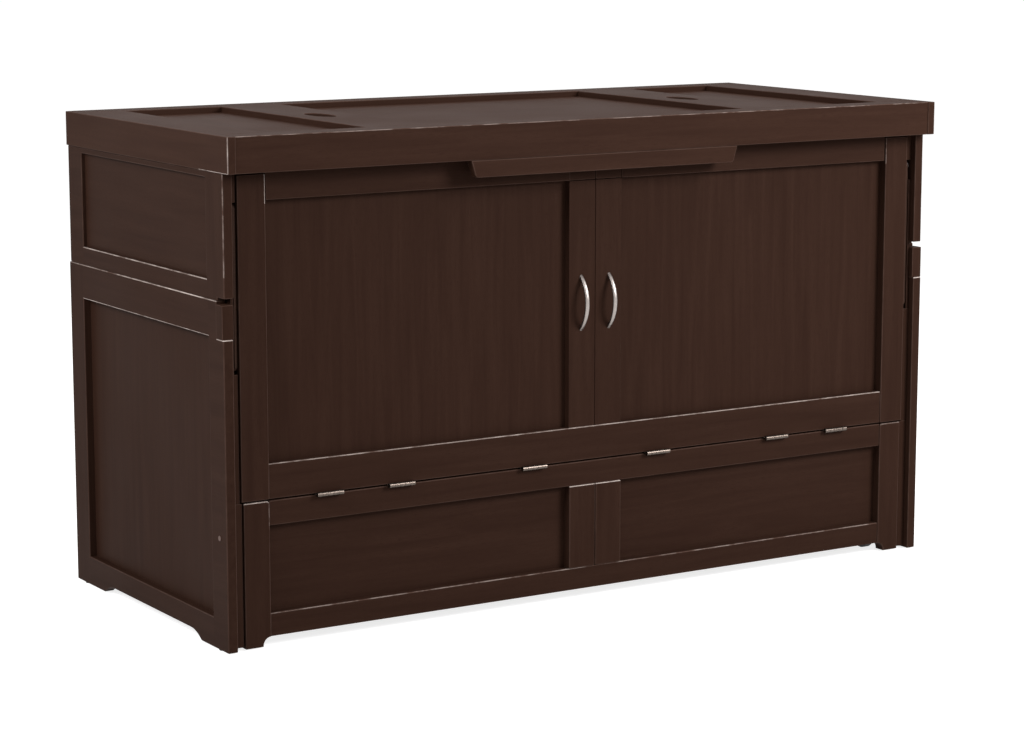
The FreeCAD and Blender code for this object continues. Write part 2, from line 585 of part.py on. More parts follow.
def caster(x, y):
    """Wheel, axle and fork of one fixed caster, and the block that it is screwed under."""
    cheek_in = WHEEL_T / 2 + FORK_SIDE_GAP
    cheek_out = cheek_in + FORK_CHEEK_T
    rail_in = LOWER_FRONT_HALF - CARRIAGE_T
    plate_x, plate_y = FORK_PLATE_HALF
    block = box(rail_in - CASTER_BLOCK_WIDTH, rail_in, y - CASTER_BLOCK_HALF, y + CASTER_BLOCK_HALF,
                CARRIAGE_REAR_Z, CASTER_BLOCK_TOP)
    fork = box(x - plate_x, x + plate_x, y - plate_y, y + plate_y, FORK_PLATE_Z, CARRIAGE_REAR_Z)
    for side in (-1, 1):
        cheek = box(x + side * cheek_in, x + side * cheek_out, y - FORK_CHEEK_HALF, y + FORK_CHEEK_HALF,
                    WHEEL_R, FORK_PLATE_Z)
        tip = rod(FORK_CHEEK_HALF, (x + side * cheek_in, y, WHEEL_R), (side, 0, 0), FORK_CHEEK_T)
        fork = fork.fuse([cheek, tip])
    axle_half = cheek_out + 2
    axle = rod(AXLE_R, (x - axle_half, y, WHEEL_R), (1, 0, 0), 2 * axle_half)
    fork = fork.removeSplitter().cut(axle)
    wheel = rod(WHEEL_R, (x - WHEEL_T / 2, y, WHEEL_R), (1, 0, 0), WHEEL_T)
    rims = [edge for edge in wheel.Edges if edge.Curve.TypeId == "Part::GeomCircle"]
    wheel = wheel.makeFillet(3.0, rims)
    bore = rod(AXLE_R + RUNNING_GAP, (x - WHEEL_T, y, WHEEL_R), (1, 0, 0), 2 * WHEEL_T)
    return block, fork, axle, wheel.cut(bore)


def build_casters():
    blocks, forks, axles = [], [], []
    for row, y in (("front", -WHEEL_Y), ("rear", WHEEL_Y)):
        block, fork, axle, wheel = caster(WHEEL_X, y)
        blocks += pair(block)
        forks += pair(fork)
        axles += pair(axle)
        save("wheel_" + row + "_right", [wheel])
        save("wheel_" + row + "_left", [mirrored(wheel)])
    save("caster_blocks", blocks)
    save("caster_forks", forks)
    save("caster_axles", axles)


os.makedirs("parts", exist_ok=True)
lid_hinge_pairs = lid_hinges()
front_hinge_pairs = front_hinges()
save("lid_hinge_case_leaves", [lower for lower, upper in lid_hinge_pairs])
save("lid_hinge_lid_leaves", [upper for lower, upper in lid_hinge_pairs])
save("front_hinge_base_leaves", [lower for lower, upper in front_hinge_pairs])
save("front_hinge_drop_leaves", [upper for lower, upper in front_hinge_pairs])
build_sides()
build_fillers()
build_back([lower for lower, upper in lid_hinge_pairs])
build_header()
build_platform()
build_mattress()
build_lid([upper for lower, upper in lid_hinge_pairs])
build_drop_front()
build_legs()
build_base()
build_casters()
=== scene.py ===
"""Cabinet bed in dark chocolate lacquer: the finish of every piece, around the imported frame.

Metres, +Z up, the front towards -Y, the origin on the floor under the middle of the chest.
"""
import itertools
import json
import math

import bmesh
import bpy
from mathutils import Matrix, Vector
from mathutils.bvhtree import BVHTree


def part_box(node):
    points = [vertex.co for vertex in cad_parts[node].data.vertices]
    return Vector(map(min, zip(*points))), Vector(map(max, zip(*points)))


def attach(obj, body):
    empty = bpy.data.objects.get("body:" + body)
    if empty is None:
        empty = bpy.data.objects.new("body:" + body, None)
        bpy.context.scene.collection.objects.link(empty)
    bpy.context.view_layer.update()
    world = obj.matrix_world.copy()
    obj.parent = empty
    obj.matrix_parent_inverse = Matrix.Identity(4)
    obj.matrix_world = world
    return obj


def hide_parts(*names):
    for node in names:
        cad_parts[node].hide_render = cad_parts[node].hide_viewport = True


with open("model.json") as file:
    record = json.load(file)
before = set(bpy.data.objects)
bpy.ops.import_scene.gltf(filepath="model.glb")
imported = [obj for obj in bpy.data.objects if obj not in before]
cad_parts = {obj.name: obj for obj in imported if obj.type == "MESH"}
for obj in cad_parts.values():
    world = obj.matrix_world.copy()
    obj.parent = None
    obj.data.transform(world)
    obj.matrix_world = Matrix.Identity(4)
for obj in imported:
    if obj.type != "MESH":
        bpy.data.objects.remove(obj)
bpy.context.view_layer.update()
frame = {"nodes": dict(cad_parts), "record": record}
MM = 0.001
X, Y, Z = 0, 1, 2
bpy.context.scene.view_settings.view_transform = "Standard"

# ------------------------ node trees


class NodeTree:
    """A node tree under construction, with short ways to add a node and to feed its sockets."""

    def __init__(self, tree, prefix=""):
        self.tree = tree
        self.prefix = prefix

    def feed(self, socket, value):
        """Joins an output, or a node's first output, to the socket, or sets a plain value on it."""
        if isinstance(value, bpy.types.Node):
            value = value.outputs[0]
        if hasattr(value, "is_linked"):
            self.tree.links.new(value, socket)
        elif socket.type == "RGBA":
            socket.default_value = (*value, 1)
        else:
            socket.default_value = value

    def add(self, kind, inputs=(), **settings):
        """A node of that kind. inputs: {socket name or number: an output or a plain value}."""
        node = self.tree.nodes.new(self.prefix + kind)
        for key, value in settings.items():
            setattr(node, key, value)
        for key, value in dict(inputs).items():
            self.feed(node.inputs[key], value)
        return node


class Finish(NodeTree):
    """A material under construction, on one Principled shader."""

    def __init__(self, name, colour, roughness, metallic=0.0, specular=0.5):
        self.material = bpy.data.materials.new(name)
        self.material.use_nodes = True
        self.material.diffuse_color = (*colour, 1)
        super().__init__(self.material.node_tree, "ShaderNode")
        self.shader = self.tree.nodes["Principled BSDF"]
        self.set("Base Color", colour)
        self.set("Roughness", roughness)
        self.set("Metallic", metallic)
        self.set("Specular IOR Level", specular)

    def set(self, name, value):
        self.feed(self.shader.inputs[name], value)

    def place(self, source="object", scale=(1, 1, 1)):
        """Coordinates in metres, from the object or from one of its attributes, scaled per axis."""
        if source == "object":
            origin = self.add("TexCoord").outputs["Object"]
        else:
            origin = self.add("Attribute", attribute_name=source).outputs["Vector"]
        return self.add("Mapping", {"Vector": origin, "Scale": scale}).outputs["Vector"]

    def noise(self, vector, scale, detail=3.0, roughness=0.5, distortion=0.0):
        return self.add("TexNoise", {"Vector": vector, "Scale": scale, "Detail": detail,
                                     "Roughness": roughness, "Distortion": distortion}).outputs["Fac"]

    def ramp(self, factor, stops):
        """A colour or a value for each place along the factor: [(place, colour or value), ...]."""
        node = self.add("ValToRGB", {"Fac": factor})
        elements = node.color_ramp.elements
        while len(elements) < len(stops):
            elements.new(0.5)
        for element, (place, value) in zip(elements, stops):
            element.position = place
            element.color = (*value, 1) if hasattr(value, "__len__") else (value, value, value, 1)
        return node.outputs["Color"]

    def mix(self, factor, first, second):
        node = self.add("Mix", {"Factor": factor, "A": first, "B": second}, data_type="RGBA")
        return node.outputs["Result"]

    def bump(self, height, depth, strength):
        """Relief of that depth in metres, on top of any relief that the shader has already."""
        node = self.add("Bump", {"Height": height, "Distance": depth, "Strength": strength})
        normal = self.shader.inputs["Normal"]
        if normal.links:
            self.feed(node.inputs["Normal"], normal.links[0].from_socket)
        self.feed(normal, node.outputs["Normal"])


# ------------------------ materials

LACQUER_DEEP = (0.026, 0.0118, 0.0078)
LACQUER = (0.031, 0.0145, 0.0096)
LACQUER_WARM = (0.036, 0.0173, 0.0116)
# The first colour below lightens every arris, partly as rubbed lacquer and partly as painted highlight; the
# second is a pale painted highlight along chosen edges.
EDGE_WEAR_AND_HIGHLIGHT = (0.075, 0.044, 0.034)
PAINTED_HIGHLIGHT = (0.52, 0.44, 0.40)


def chocolate_lacquer(name, lighter=1.0):
    """Satin dark lacquer on close-grained wood: faint figure, open pores, edges painted lighter, partly as
    rubbed lacquer and partly as painted highlight.
    """
    # lighter scales every colour up; the lid's copy uses it as painted light.
    deep, plain, warm = (tuple(lighter * part for part in tone)
                         for tone in (LACQUER_DEEP, LACQUER, LACQUER_WARM))
    finish = Finish(name, plain, 0.54, specular=0.02)
    figure = finish.noise(finish.place("board", (3.0, 55.0, 55.0)), 1.0, 5.0, 0.6, 0.6)
    shade = finish.ramp(figure, [(0.30, deep), (0.52, plain), (0.75, warm)])
    pores = finish.noise(finish.place("board", (60.0, 1400.0, 1400.0)), 1.0, 2.0)
    pore_mask = finish.ramp(pores, [(0.34, 0.0), (0.44, 1.0)])
    wood = finish.mix(pore_mask, deep, shade)
    # The arris attribute: how much lighter a rounded face is painted, rubbed lacquer and painted highlight
    # together.
    edge = finish.add("Attribute", attribute_name="arris").outputs["Fac"]
    patchy = finish.ramp(finish.noise(finish.place(), 26.0, 4.0, 0.6), [(0.35, 0.55), (0.62, 1.0)])
    wear_and_highlight = finish.add("Math", {0: edge, 1: patchy}, operation="MULTIPLY").outputs["Value"]
    # Faces marked up to 0.4 take the lighter edge colour; above that they go over to the pale painted
    # highlight.
    lighter_edged_wood = finish.mix(finish.ramp(wear_and_highlight, [(0.0, 0.0), (0.4, 1.0)]), wood, EDGE_WEAR_AND_HIGHLIGHT)
    finish.set("Base Color", finish.mix(finish.ramp(wear_and_highlight, [(0.4, 0.0), (1.0, 1.0)]), lighter_edged_wood, PAINTED_HIGHLIGHT))
    cloud = finish.noise(finish.place(), 3.5, 2.0)
    finish.set("Roughness", finish.ramp(cloud, [(0.3, 0.50), (0.7, 0.58)]))
    finish.bump(pore_mask, 0.00006, 0.5)
    peel = finish.noise(finish.place(), 420.0, 1.0)
    finish.bump(peel, 0.00005, 0.25)
    return finish.material


def bare_pine():
    """Planed softwood slats: long bands of early and late wood, with pores and a dusty surface."""
    finish = Finish("planed_pine", (0.60, 0.41, 0.22), 0.62, specular=0.3)
    wave = finish.add("TexWave", {"Vector": finish.place("board", (1.2, 26.0, 26.0)), "Scale": 1.0,
                                  "Distortion": 5.0, "Detail": 3.0, "Detail Scale": 1.4},
                      wave_type="BANDS", bands_direction="Y", wave_profile="SIN")
    bands = finish.ramp(wave.outputs["Fac"], [(0.0, (0.66, 0.47, 0.27)), (0.62, (0.58, 0.38, 0.19)),
                                              (1.0, (0.40, 0.22, 0.09))])
    fibre = finish.noise(finish.place("board", (14.0, 700.0, 700.0)), 1.0)
    streaks = finish.ramp(fibre, [(0.3, (0.42, 0.26, 0.13)), (0.7, (0.76, 0.58, 0.36))])
    finish.set("Base Color", finish.mix(0.35, bands, streaks))
    finish.bump(fibre, 0.0001, 0.4)
    return finish.material


def stained_ply():
    """The back: thin board stained dark, with no lacquer."""
    finish = Finish("stained_ply", (0.032, 0.0155, 0.010), 0.58, specular=0.06)
    figure = finish.noise(finish.place("board", (2.0, 30.0, 30.0)), 1.0, 6.0, 0.65, 1.2)
    finish.set("Base Color", finish.ramp(figure, [(0.3, (0.021, 0.0098, 0.0063)),
                                                  (0.7, (0.045, 0.0222, 0.0148))]))
    pores = finish.noise(finish.place("board", (40.0, 900.0, 900.0)), 1.0, 2.0)
    finish.bump(pores, 0.00008, 0.5)
    return finish.material


def satin_nickel():
    """Plated bow pulls, brushed along their length."""
    finish = Finish("satin_nickel", (0.30, 0.265, 0.25), 0.34, metallic=1.0)
    lines = finish.noise(finish.place("object", (2600.0, 2600.0, 60.0)), 1.0, 2.0)
    finish.set("Base Color", finish.ramp(lines, [(0.3, (0.24, 0.21, 0.195)), (0.7, (0.36, 0.32, 0.30))]))
    finish.set("Roughness", finish.ramp(lines, [(0.3, 0.30), (0.7, 0.42)]))
    finish.bump(lines, 0.00002, 0.5)
    return finish.material


def metal(name, colour, roughness, spangle, metallic=1.0, specular=0.5):
    """Plated or coated steel with a fine uneven surface."""
    finish = Finish(name, colour, roughness, metallic, specular)
    lighter = tuple(min(1.0, value * 1.35 + 0.01) for value in colour)
    darker = tuple(value * 0.72 for value in colour)
    grains = finish.noise(finish.place(), spangle)
    finish.set("Base Color", finish.ramp(grains, [(0.3, darker), (0.55, colour), (0.8, lighter)]))
    finish.set("Roughness", finish.ramp(grains, [(0.3, roughness - 0.06), (0.7, roughness + 0.08)]))
    finish.bump(grains, 0.00003, 0.35)
    return finish.material


def moulded(name, colour, roughness, grain, depth, specular=0.4):
    """Moulded plastic or rubber with a fine spark-eroded texture."""
    finish = Finish(name, colour, roughness, specular=specular)
    texture = finish.noise(finish.place(), grain, 4.0, 0.6)
    lighter = tuple(value * 1.5 + 0.004 for value in colour)
    finish.set("Base Color", finish.ramp(texture, [(0.35, colour), (0.75, lighter)]))
    finish.bump(texture, depth, 0.6)
    return finish.material


def knit_cover():
    """Knitted mattress cover: rows of small stitches, slightly uneven, with a soft sheen."""
    finish = Finish("knit_cover", (0.80, 0.78, 0.73), 0.88, specular=0.15)
    finish.set("Sheen Weight", 0.35)
    finish.set("Sheen Roughness", 0.45)
    cells = finish.add("TexVoronoi", {"Vector": finish.place("object", (340.0, 620.0, 340.0)), "Scale": 1.0,
                                      "Smoothness": 0.6, "Randomness": 0.35}, feature="SMOOTH_F1")
    stitch = finish.ramp(cells.outputs["Distance"], [(0.15, 1.0), (0.6, 0.0)])
    cloud = finish.noise(finish.place(), 5.0)
    base = finish.ramp(cloud, [(0.3, (0.74, 0.72, 0.67)), (0.7, (0.84, 0.82, 0.78))])
    finish.set("Base Color", finish.mix(stitch, (0.60, 0.58, 0.53), base))
    finish.bump(stitch, 0.0006, 0.6)
    return finish.material


def woven_tape():
    """Piping of the mattress cover: close woven grey cotton."""
    finish = Finish("woven_tape", (0.42, 0.41, 0.39), 0.85, specular=0.2)
    threads = finish.add("TexWave", {"Vector": finish.place(), "Scale": 260.0},
                         wave_type="BANDS", bands_direction="DIAGONAL").outputs["Fac"]
    finish.set("Base Color", finish.ramp(threads, [(0.2, (0.32, 0.31, 0.29)), (0.8, (0.50, 0.49, 0.46))]))
    finish.bump(threads, 0.0003, 0.6)
    return finish.material


LACQUER_FINISH = chocolate_lacquer("chocolate_lacquer")
# Painted light: the lid's lacquer is made lighter to stand in for the light it catches.
LID_PAINTED_LIGHT_FINISH = chocolate_lacquer("chocolate_lacquer_lid_painted_light", 1.18)
PINE_FINISH = bare_pine()
PLY_FINISH = stained_ply()
NICKEL_FINISH = satin_nickel()
HINGE_FINISH = metal("bronzed_hinge", (0.115, 0.092, 0.078), 0.27, 240.0)
ZINC_FINISH = metal("zinc_plate", (0.56, 0.56, 0.58), 0.34, 180.0)
LEG_STEEL_FINISH = metal("brown_powder_coat", (0.036, 0.017, 0.011), 0.6, 900.0, metallic=0.0, specular=0.08)
CUP_FINISH = moulded("dark_cup", (0.019, 0.0095, 0.0065), 0.75, 1500.0, 0.00006, specular=0.0)
CAP_FINISH = moulded("brown_cap", (0.095, 0.060, 0.050), 0.55, 1500.0, 0.00006, specular=0.15)
PLASTIC_FINISH = moulded("black_nylon", (0.022, 0.019, 0.018), 0.5, 1500.0, 0.00008)
RUBBER_FINISH = moulded("grey_wheel_rubber", (0.10, 0.10, 0.105), 0.7, 700.0, 0.0002)
KNIT_FINISH = knit_cover()
PIPING_FINISH = woven_tape()

# ------------------------ meshes and pieces

MERGE = 0.02 * MM
FLAT = math.radians(0.6)
SHARP = math.radians(32)
bodies_of = {node: body for body, nodes in frame["record"]["behaviour"]["bodies"].items() for node in nodes}
slots_of = {part["node"]: part["material_slot"] for part in frame["record"]["subparts"]}


def islands(shell):
    """The faces of each separate solid. Solids that only share an edge stay apart."""
    shell.faces.ensure_lookup_table()
    left = dict.fromkeys(shell.faces)
    groups = []
    while left:
        stack = [next(iter(left))]
        del left[stack[0]]
        group = list(stack)
        while stack:
            for edge in stack.pop().edges:
                if len(edge.link_faces) == 2:
                    for near in edge.link_faces:
                        if near in left:
                            del left[near]
                            stack.append(near)
                            group.append(near)
        groups.append(group)
    return groups


def copy_of(node):
    """A node's mesh with its doubles merged, its solids apart and its flat faces made whole."""
    shell = bmesh.new()
    shell.from_mesh(frame["nodes"][node].data)
    bmesh.ops.remove_doubles(shell, verts=shell.verts, dist=MERGE)
    for group in islands(shell)[1:]:
        bmesh.ops.split(shell, geom=group)
    bmesh.ops.dissolve_limit(shell, angle_limit=FLAT, verts=shell.verts, edges=shell.edges)
    return shell


def corners(points):
    """The low and the high corner of the box around the points."""
    points = list(points)
    return (Vector([min(point[axis] for point in points) for axis in (X, Y, Z)]),
            Vector([max(point[axis] for point in points) for axis in (X, Y, Z)]))


def node_boards(node):
    """The box of each separate solid of a node."""
    shell = copy_of(node)
    boxes = [corners(vert.co for face in group for vert in face.verts) for group in islands(shell)]
    shell.free()
    return boxes


def placed(name, data):
    """A new object with that data, in the scene."""
    thing = bpy.data.objects.new(name, data)
    bpy.context.scene.collection.objects.link(thing)
    return thing


def mesh_of(shell, name):
    """The shell as a mesh; the shell is used up."""
    mesh = bpy.data.meshes.new(name)
    shell.to_mesh(mesh)
    shell.free()
    return mesh


def closed_mesh(shell, name, sharp=SHARP):
    """The mesh of a shell made here, its faces turned outwards and its sharp edges kept."""
    bmesh.ops.recalc_face_normals(shell, faces=shell.faces)
    mesh = mesh_of(shell, name)
    shade(mesh, sharp)
    return mesh


def as_mesh(thing):
    """A plain mesh of an object with its modifiers in effect."""
    bpy.context.view_layer.update()
    return bpy.data.meshes.new_from_object(thing.evaluated_get(bpy.context.evaluated_depsgraph_get()))


def shade(mesh, sharp=SHARP):
    mesh.shade_smooth()
    mesh.set_sharp_from_angle(angle=sharp)


def weighted(piece):
    """Keeps the flat faces flat beside their rounded edges."""
    modifier = piece.modifiers.new("weighted normals", "WEIGHTED_NORMAL")
    modifier.keep_sharp = True
    modifier.weight = 90


def new_piece(name, mesh, material, body, slot, *nodes):
    mesh.materials.clear()
    mesh.materials.append(material)
    piece = placed(name, mesh)
    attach(piece, body)
    if nodes:
        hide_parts(*nodes)
    return piece


def finished(node, mesh, material):
    """The piece that stands for a whole node, on the node's own body."""
    return new_piece(node + "_finished", mesh, material, bodies_of[node], slots_of[node], node)


def arrises(shell):
    """The outer edges that are sharp to the hand."""
    return [edge for edge in shell.edges
            if len(edge.link_faces) == 2 and edge.is_convex and edge.calc_face_angle() > SHARP]


def rounded(shell, edges, width, steps):
    """Rounds the edges and returns the new faces."""
    return bmesh.ops.bevel(shell, geom=edges, offset=width, offset_type="OFFSET", segments=steps, profile=0.5,
                           affect="EDGES", clamp_overlap=True)["faces"]


# ------------------------ boards: eased edges, painted lighter as rubbed lacquer and painted highlight

PROBE = 0.4 * MM
JOINT_EASE = 0.35 * MM
ARRIS_STEPS = 3
ARRIS_WEAR_AND_HIGHLIGHT = 0.3  # how much lighter any arris is painted: partly rubbed lacquer, partly painted highlight
# Half the width of a painted highlight line.
HIGHLIGHT_REACH = 3.0 * MM


def hidden_in(point, boxes):
    return any(all(low[axis] < point[axis] < high[axis] for axis in (X, Y, Z)) for low, high in boxes)


def at_a_joint(edge, neighbours):
    """True where a neighbouring board covers one of the two faces at the middle of this edge."""
    middle = (edge.verts[0].co + edge.verts[1].co) / 2
    first, second = (face.normal for face in edge.link_faces)
    probes = (middle + (first - second) * PROBE, middle + (second - first) * PROBE)
    return any(hidden_in(probe, neighbours) for probe in probes)


def wear_and_highlight_of(face, lines):
    """A line is ({axis number: place or (low, high)}, how strongly it is painted as a pale highlight, 0 to
    1).
    """
    centre = face.calc_center_median()
    wears_and_highlights = [ARRIS_WEAR_AND_HIGHLIGHT]
    for line, wear_and_highlight in lines:
        ranges = [(axis, place if isinstance(place, tuple) else (place - HIGHLIGHT_REACH, place + HIGHLIGHT_REACH))
                  for axis, place in line.items()]
        if all(low < centre[axis] < high for axis, (low, high) in ranges):
            wears_and_highlights.append(wear_and_highlight)
    return max(wears_and_highlights)


def cut_at_the_ends(shell, mark, lines):
    """Rounded faces are cut where a painted highlight line that covers a part of them starts and ends."""
    spans = [(axis, end) for line, _ in lines for axis, place in line.items()
             for end in (place if isinstance(place, tuple) else ())]
    for axis, end in spans:
        faces = [face for face in shell.faces if face[mark] > 0]
        edges = {edge for face in faces for edge in face.edges}
        verts = {vert for face in faces for vert in face.verts}
        normal = Vector([1.0 if number == axis else 0.0 for number in (X, Y, Z)])
        bmesh.ops.bisect_plane(shell, geom=[*verts, *edges, *faces], plane_co=normal * end,
                               plane_no=normal, dist=0.01 * MM)


def ease_edges(shell, width, neighbours, highlight_lines):
    """Rounds the arrises. Where boards meet, the edge is only broken. Rounded faces are marked with how much
    lighter they are painted, as rubbed lacquer and painted highlight.
    """
    mark = shell.faces.layers.float.new("arris")
    for joint, reach, steps in ((False, width, ARRIS_STEPS), (True, JOINT_EASE, 1)):
        shell.normal_update()
        chosen = [edge for edge in arrises(shell) if at_a_joint(edge, neighbours) == joint]
        if not chosen:
            continue
        for face in rounded(shell, chosen, reach, steps):
            if not joint:
                face[mark] = ARRIS_WEAR_AND_HIGHLIGHT
    cut_at_the_ends(shell, mark, highlight_lines)
    for face in shell.faces:
        if face[mark] > 0:
            face[mark] = wear_and_highlight_of(face, highlight_lines)


def joined_flush(shell):
    """One closed shell from boards that meet face to face. Each face remembers its board."""
    groups = islands(shell)
    for index, group in enumerate(groups):
        for face in group:
            face.material_index = index
    pieces = []
    for index in range(len(groups)):
        part = shell.copy()
        part.faces.ensure_lookup_table()
        others = [face for face in part.faces if face.material_index != index]
        bmesh.ops.delete(part, geom=others, context="FACES")
        board = mesh_of(part, "board")
        for _ in groups:
            board.materials.append(None)
        pieces.append(placed("board", board))
    for other in pieces[1:]:
        union = pieces[0].modifiers.new("union", "BOOLEAN")
        union.operation = "UNION"
        union.solver = "EXACT"
        union.object = other
    shell.clear()
    shell.from_mesh(as_mesh(pieces[0]))
    for piece in pieces:
        bpy.data.objects.remove(piece)
    bmesh.ops.remove_doubles(shell, verts=shell.verts, dist=MERGE)
    bmesh.ops.dissolve_limit(shell, angle_limit=FLAT, verts=shell.verts, edges=shell.edges,
                             delimit={"MATERIAL"})


def polygon_groups(mesh):
    """Polygons of each separate solid."""
    parent = list(range(len(mesh.vertices)))

    def root(index):
        while parent[index] != index:
            parent[index] = parent[parent[index]]
            index = parent[index]
        return index

    for edge in mesh.edges:
        first, second = (root(index) for index in edge.vertices)
        parent[first] = second
    groups = {}
    for polygon in mesh.polygons:
        groups.setdefault(root(polygon.vertices[0]), []).append(polygon)
    return [groups[key] for key in sorted(groups)]


def remembered_boards(mesh):
    """Polygons of each board of a flush frame, which then share one material."""
    boards = {}
    for polygon in mesh.polygons:
        boards.setdefault(polygon.material_index, []).append(polygon)
    for polygon in mesh.polygons:
        polygon.material_index = 0
    return [boards[index] for index in sorted(boards)]


NEXT_BOARD = (0.37, 0.23, 0.31)  # how far the grain moves on from one board to the next


def grain_coordinates(mesh, boards, upright):
    """Attribute board: metres along the grain, then across it, with another start on each board."""
    coordinates = mesh.attributes.new("board", "FLOAT_VECTOR", "CORNER")
    for number, polygons in enumerate(boards):
        low, high = corners(mesh.vertices[index].co for polygon in polygons for index in polygon.vertices)
        size = high - low
        along = Z if upright else max((X, Y, Z), key=lambda axis: size[axis])
        across = [axis for axis in (X, Y, Z) if axis != along]
        start = Vector([step * number + begin for step, begin in zip(NEXT_BOARD, (0.0, low.x, low.z))])
        for polygon in polygons:
            for loop in polygon.loop_indices:
                point = mesh.vertices[mesh.loops[loop].vertex_index].co
                value = Vector((point[along], point[across[0]], point[across[1]])) + start
                coordinates.data[loop].vector = value


def front_of(node):
    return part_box(node)[0][Y]


SEAM_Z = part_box("upper_side_frame_right")[0][Z]
NOTCH_LEDGE_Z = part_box("corner_blocks")[0][Z]
SIDE_RAIL_TOP_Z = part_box("upper_side_panel_right")[0][Z]
BASE_PANEL_LOW, BASE_PANEL_HIGH = (corner[Z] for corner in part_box("base_panels"))
LID_LOW_Z, LID_TOP_Z = (corner[Z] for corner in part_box("lid_front_board"))
LID_END_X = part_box("lid_side_boards")[1][X]
STILE_X, _, DROP_RAIL_TOP_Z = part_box("drop_bottom_rail")[1]
CENTRE_STILE_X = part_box("drop_centre_stiles")[1][X]
POST_TOP_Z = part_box("base_posts")[1][Z]
FAR = 1.0  # past every piece
PAST_END = 1 * MM
SHORT_LINE = 55 * MM  # a line down from the top of a stile or a post
STILE_LINE = (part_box("drop_stiles")[1][Z] - SHORT_LINE, FAR)
CORNER_LINE = (SEAM_Z + 45 * MM, FAR)
LID_SIDE_LINE = (front_of("lid_side_boards") - PAST_END, -0.250)
GAP_LINE = (0.0, 0.62)


def side_highlight_lines(side):
    """Painted highlight lines of one side: the seam, the ledge of the notch, the front corner, the panel's
    sill.
    """
    column = 0 if side == "left" else 1
    lower, upper = "lower_side_frame_" + side, "upper_side_frame_" + side
    lower_x, upper_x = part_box(lower)[column][X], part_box(upper)[column][X]
    front, back = front_of(lower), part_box(lower)[1][Y]
    third = (back - front) / 3
    seam = [({X: lower_x, Z: SEAM_Z, Y: (front - PAST_END, front + third)}, 1.0),
            ({X: lower_x, Z: SEAM_Z, Y: (front + third, back - third)}, 0.82),
            ({X: lower_x, Z: SEAM_Z, Y: (back - third, back + PAST_END)}, 0.68)]
    return {
        lower: seam + [({X: lower_x, Z: NOTCH_LEDGE_Z}, 1.0), ({Y: front, Z: NOTCH_LEDGE_Z}, 1.0)],
        upper: [({X: upper_x, Y: front_of(upper), Z: CORNER_LINE}, 0.62),
                ({X: upper_x, Z: SIDE_RAIL_TOP_Z}, 0.88)],
    }


# Painted highlight lines on the front pieces, with how strongly each is painted.
FRONT_HIGHLIGHT_LINES = {  # on the front of the node, where no other Y is given
    "lid_side_boards": [({X: -LID_END_X}, 0.9), ({X: -LID_END_X, Z: LID_LOW_Z, Y: LID_SIDE_LINE}, 1.0),
                        ({X: LID_END_X}, 0.9), ({X: LID_END_X, Z: LID_LOW_Z, Y: LID_SIDE_LINE}, 1.0)],
    "lid_front_board": [({Z: LID_TOP_Z}, 0.58)],
    "drop_stiles": [({X: -STILE_X, Z: STILE_LINE}, 0.85), ({X: STILE_X, Z: STILE_LINE}, 0.6)],
    "drop_bottom_rail": [({Z: DROP_RAIL_TOP_Z}, 0.76)],
    "drop_centre_stiles": [({X: CENTRE_STILE_X, Z: GAP_LINE}, 0.55)],
    "base_posts": [({Z: POST_TOP_Z, X: (-FAR, 0.0)}, 0.88), ({Z: POST_TOP_Z, X: (0.0, FAR)}, 0.66),
                   ({X: -STILE_X, Z: (POST_TOP_Z - SHORT_LINE, FAR)}, 0.62)],
    "base_rails": [({Z: BASE_PANEL_LOW}, 0.6)],
    "base_centre_stiles": [({Z: BASE_PANEL_HIGH}, 1.0)],
}
# The painted highlight lines of every node.
PAINTED_HIGHLIGHT_LINES = {**side_highlight_lines("left"), **side_highlight_lines("right")}
for node, lines in FRONT_HIGHLIGHT_LINES.items():
    PAINTED_HIGHLIGHT_LINES[node] = [({Y: front_of(node), **line}, wear_and_highlight) for line, wear_and_highlight in lines]


UPRIGHT_PANELS = ("lower_side_panel_left", "lower_side_panel_right", "drop_panels")


def dressed_boards(node, material, width, neighbours=(), flush=False):
    """A wooden node with eased edges and grain along each board, or upright in a standing panel."""
    shell = copy_of(node)
    if flush:
        joined_flush(shell)
    beside = [box for near in neighbours for box in node_boards(near)]
    ease_edges(shell, width, beside, PAINTED_HIGHLIGHT_LINES.get(node, ()))
    mesh = mesh_of(shell, node + "_finished")
    if "custom_normal" in mesh.attributes:
        mesh.attributes.remove(mesh.attributes["custom_normal"])
    boards = remembered_boards(mesh) if flush else polygon_groups(mesh)
    grain_coordinates(mesh, boards, node in UPRIGHT_PANELS)
    shade(mesh)
    weighted(finished(node, mesh, material))


FRAME_EASE = 1.8 * MM
LID_EASE = 1.5 * MM
PANEL_EASE = 0.5 * MM
INNER_EASE = 1.2 * MM
LID_FRAME = ("lid_front_board", "lid_side_boards", "lid_rear_board", "lid_rails", "lid_end_stiles",
             "lid_cross_stiles")
PLAIN_BOARDS = (
    (LACQUER_FINISH, INNER_EASE, ("header_rail", "header_stretcher")),
    (LACQUER_FINISH, FRAME_EASE, ("drop_stiles", "drop_bottom_rail", "drop_centre_stiles", "base_posts",
                                  "base_rails", "base_centre_stiles")),
    (LACQUER_FINISH, PANEL_EASE, ("drop_panels", "base_panels")),
    (LACQUER_FINISH, INNER_EASE, ("carriage_rails", "corner_blocks")),
    (LACQUER_FINISH, 0.8 * MM, ("side_fillers",)),
    (LACQUER_FINISH, 1.5 * MM, ("back_rails",)),
    (PLY_FINISH, 0.4 * MM, ("back_panels",)),
    (PINE_FINISH, INNER_EASE, ("slat_cross_rails", "base_slat_ledger", "caster_blocks", "base_guides",
                               "drop_top_batten")),
    (PINE_FINISH, 2.5 * MM, ("fixed_slats", "sliding_slats")),
)

